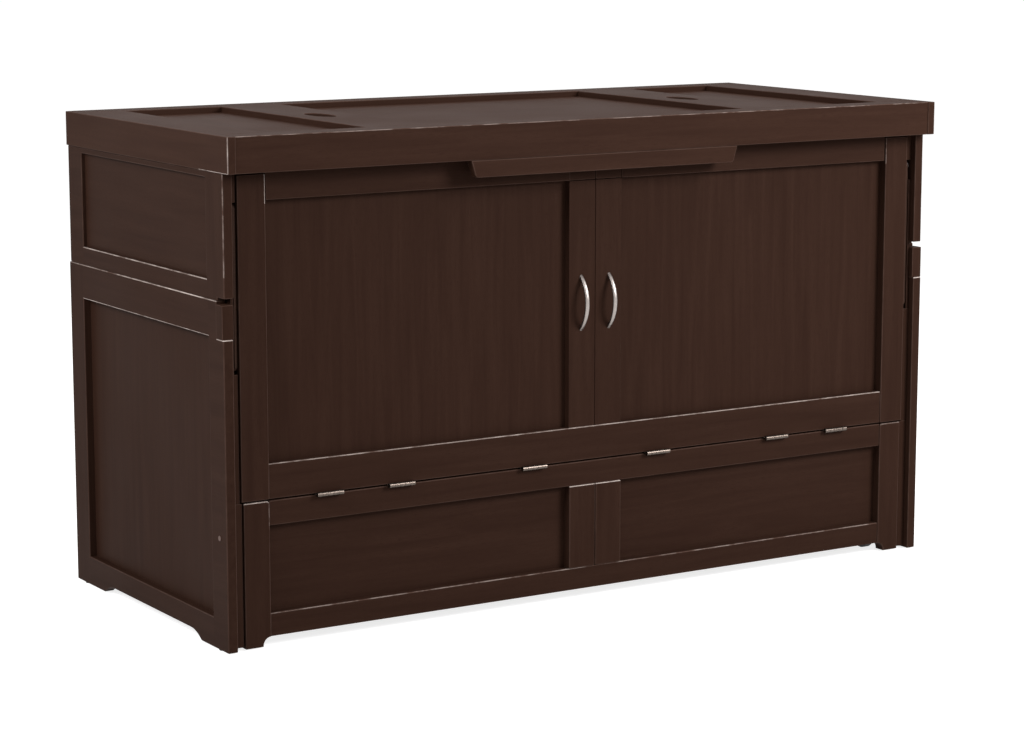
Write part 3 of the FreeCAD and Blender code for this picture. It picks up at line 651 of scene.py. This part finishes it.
for side in ("left", "right"):
    dressed_boards("lower_side_frame_" + side, LACQUER_FINISH, FRAME_EASE, flush=True)
    dressed_boards("upper_side_frame_" + side, LACQUER_FINISH, FRAME_EASE, flush=True)
    dressed_boards("lower_side_panel_" + side, LACQUER_FINISH, PANEL_EASE)
    dressed_boards("upper_side_panel_" + side, LACQUER_FINISH, PANEL_EASE)
for board in LID_FRAME:
    dressed_boards(board, LID_PAINTED_LIGHT_FINISH, LID_EASE, neighbours=[near for near in LID_FRAME if near != board])
dressed_boards("lid_panels", LID_PAINTED_LIGHT_FINISH, PANEL_EASE)
dressed_boards("lid_pull", LID_PAINTED_LIGHT_FINISH, FRAME_EASE, neighbours=["lid_front_board"])
for material, width, boards in PLAIN_BOARDS:
    for board in boards:
        dressed_boards(board, material, width)

# ------------------------ hardware

METAL_PIECES = (
    (HINGE_FINISH, 0.25 * MM, 2, ("front_hinge_base_leaves", "front_hinge_drop_leaves",
                                  "lid_hinge_case_leaves", "lid_hinge_lid_leaves")),
    (ZINC_FINISH, 0.35 * MM, 2, ("caster_forks", "caster_axles", "handle_screws", "catch_plates",
                                 "leg_pins")),
    (LEG_STEEL_FINISH, 0.9 * MM, 3, ("support_leg_left", "support_leg_right")),
    (PLASTIC_FINISH, 0.3 * MM, 2, ("foot_glides", "catch_magnets")),
    (CAP_FINISH, 0.3 * MM, 2, ("bolt_caps",)),
    (CUP_FINISH, 0.3 * MM, 2, ("lid_grip_cups",)),
)
HANDLE_FOOT = 10.0 * MM
BOW_THICKNESS = 6.0 * MM
BOW_STATIONS = 40
BOW_SIDES = 20
BOW_SQUARENESS = 2.7  # 2 is a round bar
FOOT_NARROWING = 0.20
BOW_SHARP = math.radians(50)


def dressed_metal(node, material, width, steps):
    """A pressed, turned or moulded node with its sharp edges broken."""
    shell = copy_of(node)
    rounded(shell, arrises(shell), width, steps)
    mesh = mesh_of(shell, node + "_finished")
    shade(mesh)
    weighted(finished(node, mesh, material))


def closed_loft(shell, rings, capped=True):
    """Skins a list of rings of points, each ring with the same count, and closes the two ends."""
    rows = [[shell.verts.new(point) for point in ring] for ring in rings]
    count = len(rows[0])
    pairs = list(zip(rows, rows[1:]))
    if not capped:
        pairs.append((rows[-1], rows[0]))
    for first, second in pairs:
        for index in range(count):
            after = (index + 1) % count
            shell.faces.new((first[index], first[after], second[after], second[index]))
    if capped:
        shell.faces.new(rows[0][::-1])
        shell.faces.new(rows[-1])


def arc_point(half, reach, share):
    """A point (away from the face, along it) on a bow of that half length and reach; share is -1 to 1."""
    radius = (half * half + reach * reach) / (2 * reach)
    angle = math.asin(half / radius) * share
    return reach - radius + radius * math.cos(angle), radius * math.sin(angle)


def bow_handle(node):
    """A bow pull, a little narrower towards its two feet, with soft edges along it."""
    low, high = (Vector(corner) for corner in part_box(node))
    middle_x, middle_z = (low.x + high.x) / 2, (low.z + high.z) / 2
    half_width, reach, half = (high.x - low.x) / 2, high.y - low.y, (high.z - low.z) / 2
    rings = []
    for station in range(BOW_STATIONS + 1):
        share = 2 * station / BOW_STATIONS - 1
        outer = arc_point(half, reach, share)
        inner = arc_point(half - HANDLE_FOOT, reach - BOW_THICKNESS, share)
        spread = half_width * (1 - FOOT_NARROWING + FOOT_NARROWING * math.cos(share * math.pi / 2))
        ring = []
        for side in range(BOW_SIDES):
            turn = 2 * math.pi * side / BOW_SIDES
            wide, deep = (math.copysign(abs(value) ** (2 / BOW_SQUARENESS), value)
                          for value in (math.cos(turn), math.sin(turn)))
            away, along = ((far + near) / 2 + deep * (far - near) / 2 for far, near in zip(outer, inner))
            ring.append((middle_x + spread * wide, high.y - away, middle_z + along))
        rings.append(ring)
    shell = bmesh.new()
    closed_loft(shell, rings)
    finished(node, closed_mesh(shell, node + "_finished", BOW_SHARP), NICKEL_FINISH)


for material, width, steps, nodes in METAL_PIECES:
    for node in nodes:
        dressed_metal(node, material, width, steps)
bow_handle("handle_left")
bow_handle("handle_right")

# ------------------------ caster wheels

WHEEL_SIDES = 56
SEAT_SHARE = 0.70  # the tyre's seat on the hub, of the wheel's radius
TYRE_SHOULDER = 3.0 * MM
SHOULDER_BREAK = 0.9 * MM
SEAT_INSET = 1.5 * MM
GROOVE = 0.8 * MM
GROOVE_SHARE = 0.3  # a groove's place from the middle, of the half width
RIM = 2.2 * MM
BOSS_RADIUS = 7.5 * MM
BORE_RADIUS = 4.2 * MM
HALF_WEB = 1.5 * MM
HUB_INSET = 0.8 * MM
RIBS = 8
RIB_THICKNESS = 1.6 * MM
RIB_ROOT = 0.3 * MM  # how far a rib runs into the boss and into the rim
RIB_INSET = 1.0 * MM


def turned(profile, centre):
    """A shell spun from a closed profile of (radius, along) round the X axis through the centre."""
    rings = []
    for step in range(WHEEL_SIDES):
        angle = 2 * math.pi * step / WHEEL_SIDES
        across, up = math.cos(angle), math.sin(angle)
        rings.append([centre + Vector((along, radius * across, radius * up)) for radius, along in profile])
    shell = bmesh.new()
    closed_loft(shell, rings, capped=False)
    return shell


def rib(shell, centre, width, inner, outer, turn):
    """A rib from the inner to the outer radius, turned round the X axis through the centre."""
    made = bmesh.ops.create_cube(shell, size=1.0)
    for vert in made["verts"]:
        y, z = vert.co.y * RIB_THICKNESS, inner + (vert.co.z + 0.5) * (outer - inner)
        vert.co = centre + Vector((vert.co.x * width, y * math.cos(turn) - z * math.sin(turn),
                                   y * math.sin(turn) + z * math.cos(turn)))


def caster_wheel(node):
    """A moulded wheel: a rubber tyre with two grooves on a nylon hub with ribs between rim and boss."""
    low, high = (Vector(corner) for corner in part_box(node))
    centre = (low + high) / 2
    radius, half = (high.z - low.z) / 2, (high.x - low.x) / 2
    seat = SEAT_SHARE * radius
    shoulder = [(seat, half - SEAT_INSET), (radius - TYRE_SHOULDER, half),
                (radius - SHOULDER_BREAK, half - SHOULDER_BREAK), (radius, half - TYRE_SHOULDER)]
    tyre = list(shoulder)
    for middle in (GROOVE_SHARE * half, -GROOVE_SHARE * half):
        tyre += [(radius, middle + GROOVE), (radius - GROOVE, middle + GROOVE / 2),
                 (radius - GROOVE, middle - GROOVE / 2), (radius, middle - GROOVE)]
    tyre += [(out, -along) for out, along in reversed(shoulder)]
    new_piece(node + "_tyre", closed_mesh(turned(tyre, centre), node + "_tyre"), RUBBER_FINISH,
              bodies_of[node], slots_of[node], node)
    rim, face = seat - RIM, half - HUB_INSET
    section = [(seat, face), (rim, face), (rim, HALF_WEB), (BOSS_RADIUS, HALF_WEB), (BOSS_RADIUS, half),
               (BORE_RADIUS, half)]
    hub = turned(section + [(out, -along) for out, along in reversed(section)], centre)
    for number in range(RIBS):
        rib(hub, centre, 2 * (face - RIB_INSET), BOSS_RADIUS - RIB_ROOT, rim + RIB_ROOT,
            2 * math.pi * number / RIBS)
    new_piece(node + "_hub", closed_mesh(hub, node + "_hub"), PLASTIC_FINISH, bodies_of[node],
              "black_plastic")


for end in ("front", "rear"):
    for side in ("left", "right"):
        caster_wheel("wheel_" + end + "_" + side)

# ------------------------ screws

SCREW_SIDES = 20
HEAD_RADIUS = 3.2 * MM
HEAD_DEPTH = 1.0 * MM
SOCKET_SHARE = 0.5  # of the head's radius
SOCKET_DEPTH = 0.6 * MM
TOP_FACING = 0.9  # faces of the head that point up at least this far
UP, DOWN, BACKWARD = Vector((0, 0, 1)), Vector((0, 0, -1)), Vector((0, 1, 0))


def screw_tree():
    """Geometry nodes: a screw head with a sunk socket on each point, turned to the point's facing."""
    tree = bpy.data.node_groups.new("screw_heads", "GeometryNodeTree")
    sockets = {}
    for name, kind in (("Points", "Geometry"), ("Head radius", "Float"), ("Head depth", "Float"),
                       ("Socket share", "Float"), ("Socket depth", "Float"), ("Finish", "Material")):
        made = tree.interface.new_socket(name, in_out="INPUT", socket_type="NodeSocket" + kind)
        sockets[name] = made.identifier
    tree.interface.new_socket("Screws", in_out="OUTPUT", socket_type="NodeSocketGeometry")
    nodes = NodeTree(tree)
    given = nodes.add("NodeGroupInput").outputs
    head = nodes.add("GeometryNodeMeshCylinder", {"Vertices": SCREW_SIDES, "Radius": given["Head radius"],
                                                  "Depth": given["Head depth"]})
    parts = nodes.add("ShaderNodeSeparateXYZ", {0: nodes.add("GeometryNodeInputNormal")})
    top = nodes.add("FunctionNodeCompare", {0: parts.outputs["Z"], 1: TOP_FACING}, data_type="FLOAT",
                    operation="GREATER_THAN")
    rim = nodes.add("GeometryNodeExtrudeMesh", {"Mesh": head, "Selection": top, "Offset Scale": 0.0})
    mouth = nodes.add("GeometryNodeScaleElements", {"Geometry": rim, "Selection": rim.outputs["Top"],
                                                    "Scale": given["Socket share"]})
    down = nodes.add("ShaderNodeMath", {0: given["Socket depth"], 1: -1.0}, operation="MULTIPLY")
    sunk = nodes.add("GeometryNodeExtrudeMesh", {"Mesh": mouth, "Selection": rim.outputs["Top"],
                                                 "Offset Scale": down})
    facing = nodes.add("GeometryNodeInputNamedAttribute", {"Name": "facing"}, data_type="FLOAT_VECTOR")
    turn = nodes.add("FunctionNodeAlignRotationToVector", {"Vector": facing.outputs["Attribute"]}, axis="Z")
    size = nodes.add("GeometryNodeInputNamedAttribute", {"Name": "size"}, data_type="FLOAT")
    heads = nodes.add("GeometryNodeInstanceOnPoints", {"Points": given["Points"], "Instance": sunk,
                                                       "Rotation": turn, "Scale": size.outputs["Attribute"]})
    real = nodes.add("GeometryNodeRealizeInstances", {0: heads})
    finish = nodes.add("GeometryNodeSetMaterial", {"Geometry": real, "Material": given["Finish"]})
    nodes.add("NodeGroupOutput", {0: finish})
    return tree, sockets


SCREW_TREE = screw_tree()


def screws(body, places):
    """places: (point on the surface, facing, how far the head stands proud, size against the usual head)."""
    tree, sockets = SCREW_TREE
    sunk = [(point + facing * (proud - HEAD_DEPTH * size / 2), facing, size)
            for point, facing, proud, size in places]
    mesh = bpy.data.meshes.new("screw_points_" + body)
    mesh.from_pydata([point for point, _, _ in sunk], [], [])
    mesh.attributes.new("facing", "FLOAT_VECTOR", "POINT")
    mesh.attributes.new("size", "FLOAT", "POINT")
    for index, (_, facing, size) in enumerate(sunk):
        mesh.attributes["facing"].data[index].vector = facing
        mesh.attributes["size"].data[index].value = size
    points = placed("screw_points_" + body, mesh)
    modifier = points.modifiers.new("screw heads", "NODES")
    modifier.node_group = tree
    for name, value in (("Head radius", HEAD_RADIUS), ("Head depth", HEAD_DEPTH), ("Finish", ZINC_FINISH),
                        ("Socket share", SOCKET_SHARE), ("Socket depth", SOCKET_DEPTH)):
        modifier[sockets[name]] = value
    heads = as_mesh(points)
    heads.name = "screws_" + body
    bpy.data.objects.remove(points)
    shade(heads)
    new_piece("screws_" + body, heads, ZINC_FINISH, body, "zinc_steel")


def on_leaves(node, z, facing, proud, reach, y):
    """Three screws in each hinge leaf of the node, the middle one set back."""
    set_back, size = 5 * MM, 0.85
    places = []
    for low, high in node_boards(node):
        middle = (low.x + high.x) / 2
        for offset, back in ((-reach, 0.0), (0.0, set_back), (reach, 0.0)):
            places.append((Vector((middle + offset, y + back, z)), facing, proud, size))
    return places


def screws_on(node, facing, proud, size, *rows):
    """Screws on each board of the node. For each axis a row of (share of the board, offset from there)."""
    return [(Vector([low[axis] + share * (high[axis] - low[axis]) + offset
                     for axis, (share, offset) in enumerate(place)]), facing, proud, size)
            for low, high in node_boards(node) for place in itertools.product(*rows)]


def at_both_ends(offset):
    return [(0, offset), (1, -offset)]


def about_the_middle(offset):
    return [(0.5, -offset), (0.5, offset)]


def along_the_board(offset, spaces):
    """An even row from that far inside one end to the same place at the other."""
    return [(space / spaces, offset * (1 - 2 * space / spaces)) for space in range(spaces + 1)]


HALF, HIGH = [(0.5, 0)], [(1, 0)]
FORK_PLATE = [(1, -3 * MM)]  # the underside of a caster's plate
# how far the heads stand proud, how far the outer ones are from the middle, and their Y
LID_LEAVES = (0.1 * MM, 27 * MM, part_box("back_rails")[1][Y] - 14 * MM)
FRONT_LEAVES = (0.04 * MM, 19 * MM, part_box("drop_stiles")[1][Y] - 16 * MM)
FROM_KNUCKLE = 0.1 * MM
knuckle_z = sum(corner[Z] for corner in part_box("front_hinge_base_leaves")) / 2
into_lid = on_leaves("lid_hinge_lid_leaves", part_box("lid_rear_board")[0][Z], DOWN, *LID_LEAVES)
into_case = on_leaves("lid_hinge_case_leaves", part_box("header_rail")[1][Z], UP, *LID_LEAVES)
into_base = on_leaves("front_hinge_base_leaves", knuckle_z - FROM_KNUCKLE, UP, *FRONT_LEAVES)
into_drop = on_leaves("front_hinge_drop_leaves", knuckle_z + FROM_KNUCKLE, DOWN, *FRONT_LEAVES)
into_case += screws_on("back_rails", BACKWARD, 0.2 * MM, 1.2, at_both_ends(22 * MM), HIGH,
                       [(0.28, 0), (0.72, 0)])
into_case += screws_on("back_panels", BACKWARD, 0.4 * MM, 0.8, along_the_board(20 * MM, 10), HIGH,
                       at_both_ends(9 * MM))
into_base += screws_on("sliding_slats", UP, 0.1 * MM, 1.0, about_the_middle(15 * MM), [(0, 9 * MM)],
                       HIGH)
into_base += screws_on("caster_forks", DOWN, 0.8 * MM, 1.1, about_the_middle(16 * MM),
                       about_the_middle(20 * MM), FORK_PLATE)
into_drop += screws_on("catch_plates", BACKWARD, 0.1 * MM, 0.8, at_both_ends(9 * MM), HIGH, HALF)
screws("lid", into_lid)
screws("cabinet", into_case)
screws("base", into_base)
screws("drop_front", into_drop)

# ------------------------ mattress

CORNER_RADIUS = 40.0 * MM
CORNER_STEPS = 8
FOAM_EDGE = 16.0 * MM
FOAM_EDGE_STEPS = 4
FOAM_GAP = 2.0 * MM  # above and below the foam, before it swells
FOAM_SPACING = 40.0 * MM
VOXEL = 12.0 * MM
SWELL = 8.0 * MM  # how far the cover may swell outwards
FOAM_INSET = 0.8 * SWELL
SWELL_FRAMES = 20
QUILT_PITCH = 150.0 * MM
QUILT_DEPTH = 4.0 * MM
QUILT_WIDTH = 11.0 * MM
QUILTED_FROM = 0.9  # of the half height, so that the sides stay plain
QUILT_BORDER = 25.0 * MM  # plain border, and then the width in which the quilt sets in
QUILT_FADE = 50.0 * MM
PIPING = 3.2 * MM
PIPING_SIDES = 8
PIPING_SPACING = 12.0 * MM
PIPING_FROM_FACE = 11.0 * MM
COVER_SHARP = math.radians(70)
PIPING_SHARP = math.radians(80)


def rounded_outline(low, high, step):
    """Points round a rectangle with round corners, at an even spacing, and the ways out from it."""
    points, ways = [], []
    radius = CORNER_RADIUS
    centres = [(high.x - radius, high.y - radius), (low.x + radius, high.y - radius),
               (low.x + radius, low.y + radius), (high.x - radius, low.y + radius)]

    def on_corner(quarter, share):
        angle = math.pi / 2 * (quarter + share)
        x, y = centres[quarter]
        return (Vector((x + radius * math.cos(angle), y + radius * math.sin(angle), 0)),
                Vector((math.cos(angle), math.sin(angle), 0)))

    for quarter in range(4):
        for share in range(CORNER_STEPS + 1):
            point, way = on_corner(quarter, share / CORNER_STEPS)
            points.append(point)
            ways.append(way)
        start, end = points[-1], on_corner((quarter + 1) % 4, 0)[0]
        count = int((end - start).length / step)
        for part in range(1, count):
            points.append(start.lerp(end, part / count))
            ways.append(ways[-1])
    return points, ways


def soft_block(low, high):
    """A block with round upright corners and round edges, as a temporary object."""
    points, ways = rounded_outline(low, high, FOAM_SPACING)
    rings = []
    for share in range(FOAM_EDGE_STEPS + 1):
        angle = math.pi / 2 * share / FOAM_EDGE_STEPS
        rise, draw = FOAM_EDGE * (1 - math.cos(angle)), FOAM_EDGE * (1 - math.sin(angle))
        height = Vector((0, 0, low.z + rise))
        rings.append([point - way * draw + height for point, way in zip(points, ways)])
    rings += [[Vector((point.x, point.y, high.z - (point.z - low.z))) for point in ring]
              for ring in rings[::-1]]
    shell = bmesh.new()
    closed_loft(shell, rings)
    bmesh.ops.recalc_face_normals(shell, faces=shell.faces)
    return placed("foam", mesh_of(shell, "foam"))


def swell(piece):
    """Twenty frames of cloth under pressure, with no gravity."""
    cloth = piece.modifiers.new("cloth", "CLOTH")
    cloth.settings.quality = 4
    cloth.settings.use_pressure = True
    cloth.settings.uniform_pressure_force = 4.0
    cloth.settings.effector_weights.gravity = 0.0
    cloth.settings.tension_stiffness = 20.0
    cloth.settings.compression_stiffness = 20.0
    cloth.settings.bending_stiffness = 2.0
    cloth.point_cache.frame_start = 1
    cloth.point_cache.frame_end = SWELL_FRAMES
    for number in range(1, SWELL_FRAMES + 1):
        bpy.context.scene.frame_set(number)


def foam_block(low, high):
    """The foam of one third, with soft edges, swollen in a cloth simulation and kept to its height."""
    foam = soft_block(Vector((low.x + FOAM_INSET, low.y + FOAM_INSET, low.z + FOAM_GAP)),
                      Vector((high.x - FOAM_INSET, high.y - FOAM_INSET, high.z - FOAM_GAP)))
    remesh = foam.modifiers.new("voxels", "REMESH")
    remesh.mode = "VOXEL"
    remesh.voxel_size = VOXEL
    mesh = as_mesh(foam)
    foam.modifiers.clear()
    foam.data = mesh
    rest = [vert.co.copy() for vert in mesh.vertices]
    swell(foam)
    mesh = as_mesh(foam)
    foam.modifiers.clear()
    for vert, start in zip(mesh.vertices, rest):
        moved = vert.co - start
        if moved.length > SWELL:
            moved *= SWELL / moved.length
        place = start + moved
        place.z = min(max(place.z, low.z), high.z)
        vert.co = place
    bpy.data.objects.remove(foam)
    return mesh


def quilted(mesh, low, high):
    """One subdivision, then a diamond of stitched lines drawn into the top and the bottom."""
    foam = placed("foam", mesh)
    smooth = foam.modifiers.new("smooth", "SUBSURF")
    smooth.levels = smooth.render_levels = 1
    fine = as_mesh(foam)
    bpy.data.objects.remove(foam)
    middle, reach = (low.z + high.z) / 2, (high.z - low.z) / 2
    for vert in fine.vertices:
        height = (vert.co.z - middle) / reach
        if abs(height) < QUILTED_FROM:
            continue
        edge = min(vert.co.x - low.x, high.x - vert.co.x, vert.co.y - low.y, high.y - vert.co.y)
        fade = min(1.0, max(0.0, (edge - QUILT_BORDER) / QUILT_FADE))
        diagonals = ((vert.co.x + vert.co.y) / QUILT_PITCH, (vert.co.x - vert.co.y) / QUILT_PITCH)
        near = min(abs(place - round(place)) for place in diagonals) * QUILT_PITCH
        groove = math.exp(-(near / QUILT_WIDTH) ** 2)
        vert.co.z -= math.copysign(QUILT_DEPTH * groove * fade, height)
    return fine


def piping_round(mesh, low, high, height):
    """A cord sewn round the cover at that height, lying on it."""
    cover = BVHTree.FromPolygons([vert.co for vert in mesh.vertices],
                                 [polygon.vertices for polygon in mesh.polygons])
    outside = 50 * MM
    rings = []
    for point, way in zip(*rounded_outline(low, high, PIPING_SPACING)):
        centre = cover.ray_cast(Vector((point.x, point.y, height)) + way * outside, -way)[0]
        ring = []
        for side in range(PIPING_SIDES):
            angle = 2 * math.pi * side / PIPING_SIDES
            ring.append(centre + way * (PIPING * math.cos(angle)) + UP * (PIPING * math.sin(angle)))
        rings.append(ring)
    shell = bmesh.new()
    closed_loft(shell, rings, capped=False)
    return closed_mesh(shell, "piping", PIPING_SHARP)


def moved_copy(mesh, name, rise):
    copied = mesh.copy()
    copied.name = name
    for vert in copied.vertices:
        vert.co.z += rise
    return copied


def folded_mattress():
    """Three equal thirds, one on another, each with piping round its top and bottom edge."""
    thirds = sorted(node_boards("mattress_sections"), key=lambda box: box[0].z)
    low, high = thirds[0]
    cover = quilted(foam_block(low, high), low, high)
    shade(cover, COVER_SHARP)
    rows = [piping_round(cover, low, high, height)
            for height in (low.z + PIPING_FROM_FACE, high.z - PIPING_FROM_FACE)]
    for name, (place, _) in zip(("lower", "middle", "upper"), thirds):
        rise = place.z - low.z
        third = new_piece("mattress_" + name, moved_copy(cover, "mattress_" + name, rise), KNIT_FINISH,
                          "cabinet", "mattress_cover", "mattress_sections")
        for row, edge in zip(rows, ("bottom", "top")):
            title = "mattress_piping_" + name + "_" + edge
            piping = new_piece(title, moved_copy(row, title, rise), PIPING_FINISH,
                               "cabinet", "mattress_cover")


folded_mattress()

# ------------------------ studio

CAMERA_PLACE = Vector((-3.0645, -4.9184, 1.3950))
CAMERA_HEADING = math.radians(32.00)  # to the right of +Y
CAMERA_TILT = math.radians(9.51)  # down from level
IMAGE_WIDTH = 1024
FOCAL_PIXELS = 2813.6
SENSOR = 36.0
WORLD_LIGHT = 0.42
FLOOR_COLOUR = 0.55
FLOOR_GLOW = 0.80  # added where the floor is seen, so that it looks white
FLOOR_REACH = 60.0


def studio_camera():
    data = bpy.data.cameras.new("camera")
    data.sensor_width = SENSOR
    data.lens = FOCAL_PIXELS / IMAGE_WIDTH * SENSOR
    data.clip_end = 200
    camera = placed("camera", data)
    camera.location = CAMERA_PLACE
    camera.rotation_euler = (math.radians(90) - CAMERA_TILT, 0, -CAMERA_HEADING)
    bpy.context.scene.camera = camera


def from_angles(azimuth, elevation, distance):
    """A place that far from the chest's middle; azimuth 0 is in front, positive to the right."""
    turn, rise = math.radians(azimuth), math.radians(elevation)
    offset = Vector((math.sin(turn) * math.cos(rise), -math.cos(turn) * math.cos(rise), math.sin(rise)))
    return Vector((0, 0, 0.5)) + offset * distance


def area_lamp(name, place, target, size, power):
    """A round lamp aimed at the target; its size in metres and its power in watts."""
    data = bpy.data.lights.new(name, "AREA")
    data.shape = "DISK"
    data.size = size
    data.energy = power
    lamp = placed(name, data)
    lamp.location = place
    lamp.rotation_euler = (Vector(target) - Vector(place)).to_track_quat("-Z", "Y").to_euler()


def rays_that_see(shader):
    """1 for the rays that show the background: from the camera, in a gloss or through glass."""
    rays = shader.add("LightPath").outputs
    either = shader.add("Math", {0: rays["Is Glossy Ray"], 1: rays["Is Transmission Ray"]},
                        operation="MAXIMUM")
    return shader.add("Math", {0: either, 1: rays["Is Camera Ray"]}, operation="MAXIMUM")


def white_world():
    world = bpy.data.worlds.new("white studio")
    bpy.context.scene.world = world
    world.use_nodes = True
    shader = NodeTree(world.node_tree, "ShaderNode")
    background = shader.tree.nodes["Background"].inputs
    level = shader.add("MapRange", {"Value": rays_that_see(shader), "To Min": WORLD_LIGHT, "To Max": 1.0})
    shader.feed(background["Color"], (1, 1, 1))
    shader.feed(background["Strength"], level.outputs["Result"])


def white_floor():
    """A pale floor that the camera sees white, with the chest's shadow on it."""
    mesh = bpy.data.meshes.new("floor")
    mesh.from_pydata([(x * FLOOR_REACH, y * FLOOR_REACH, 0) for x, y in ((-1, -1), (1, -1), (1, 1), (-1, 1))],
                     [], [(0, 1, 2, 3)])
    material = bpy.data.materials.new("floor")
    material.use_nodes = True
    shader = NodeTree(material.node_tree, "ShaderNode")
    shader.tree.nodes.clear()
    matt = shader.add("BsdfDiffuse", {"Color": (FLOOR_COLOUR, FLOOR_COLOUR, FLOOR_COLOUR)})
    lift = shader.add("Math", {0: rays_that_see(shader), 1: FLOOR_GLOW}, operation="MULTIPLY")
    glow = shader.add("Emission", {"Color": (1, 1, 1), "Strength": lift})
    both = shader.add("AddShader", {0: matt, 1: glow})
    shader.add("OutputMaterial", {"Surface": both})
    mesh.materials.append(material)
    floor = placed("floor", mesh)


studio_camera()
white_world()
white_floor()
area_lamp("key", from_angles(34, 27, 3.9), (0, 0, 0.5), 1.6, 132)
area_lamp("side fill", from_angles(-80, 30, 4.0), (0, 0, 0.6), 1.6, 88)
area_lamp("overhead", (0.3, 0.6, 4.5), (0, 0, 0.9), 2.0, 52)
area_lamp("rear fill", from_angles(150, 0, 4.5), (0, 0, 0.5), 0.9, 60)
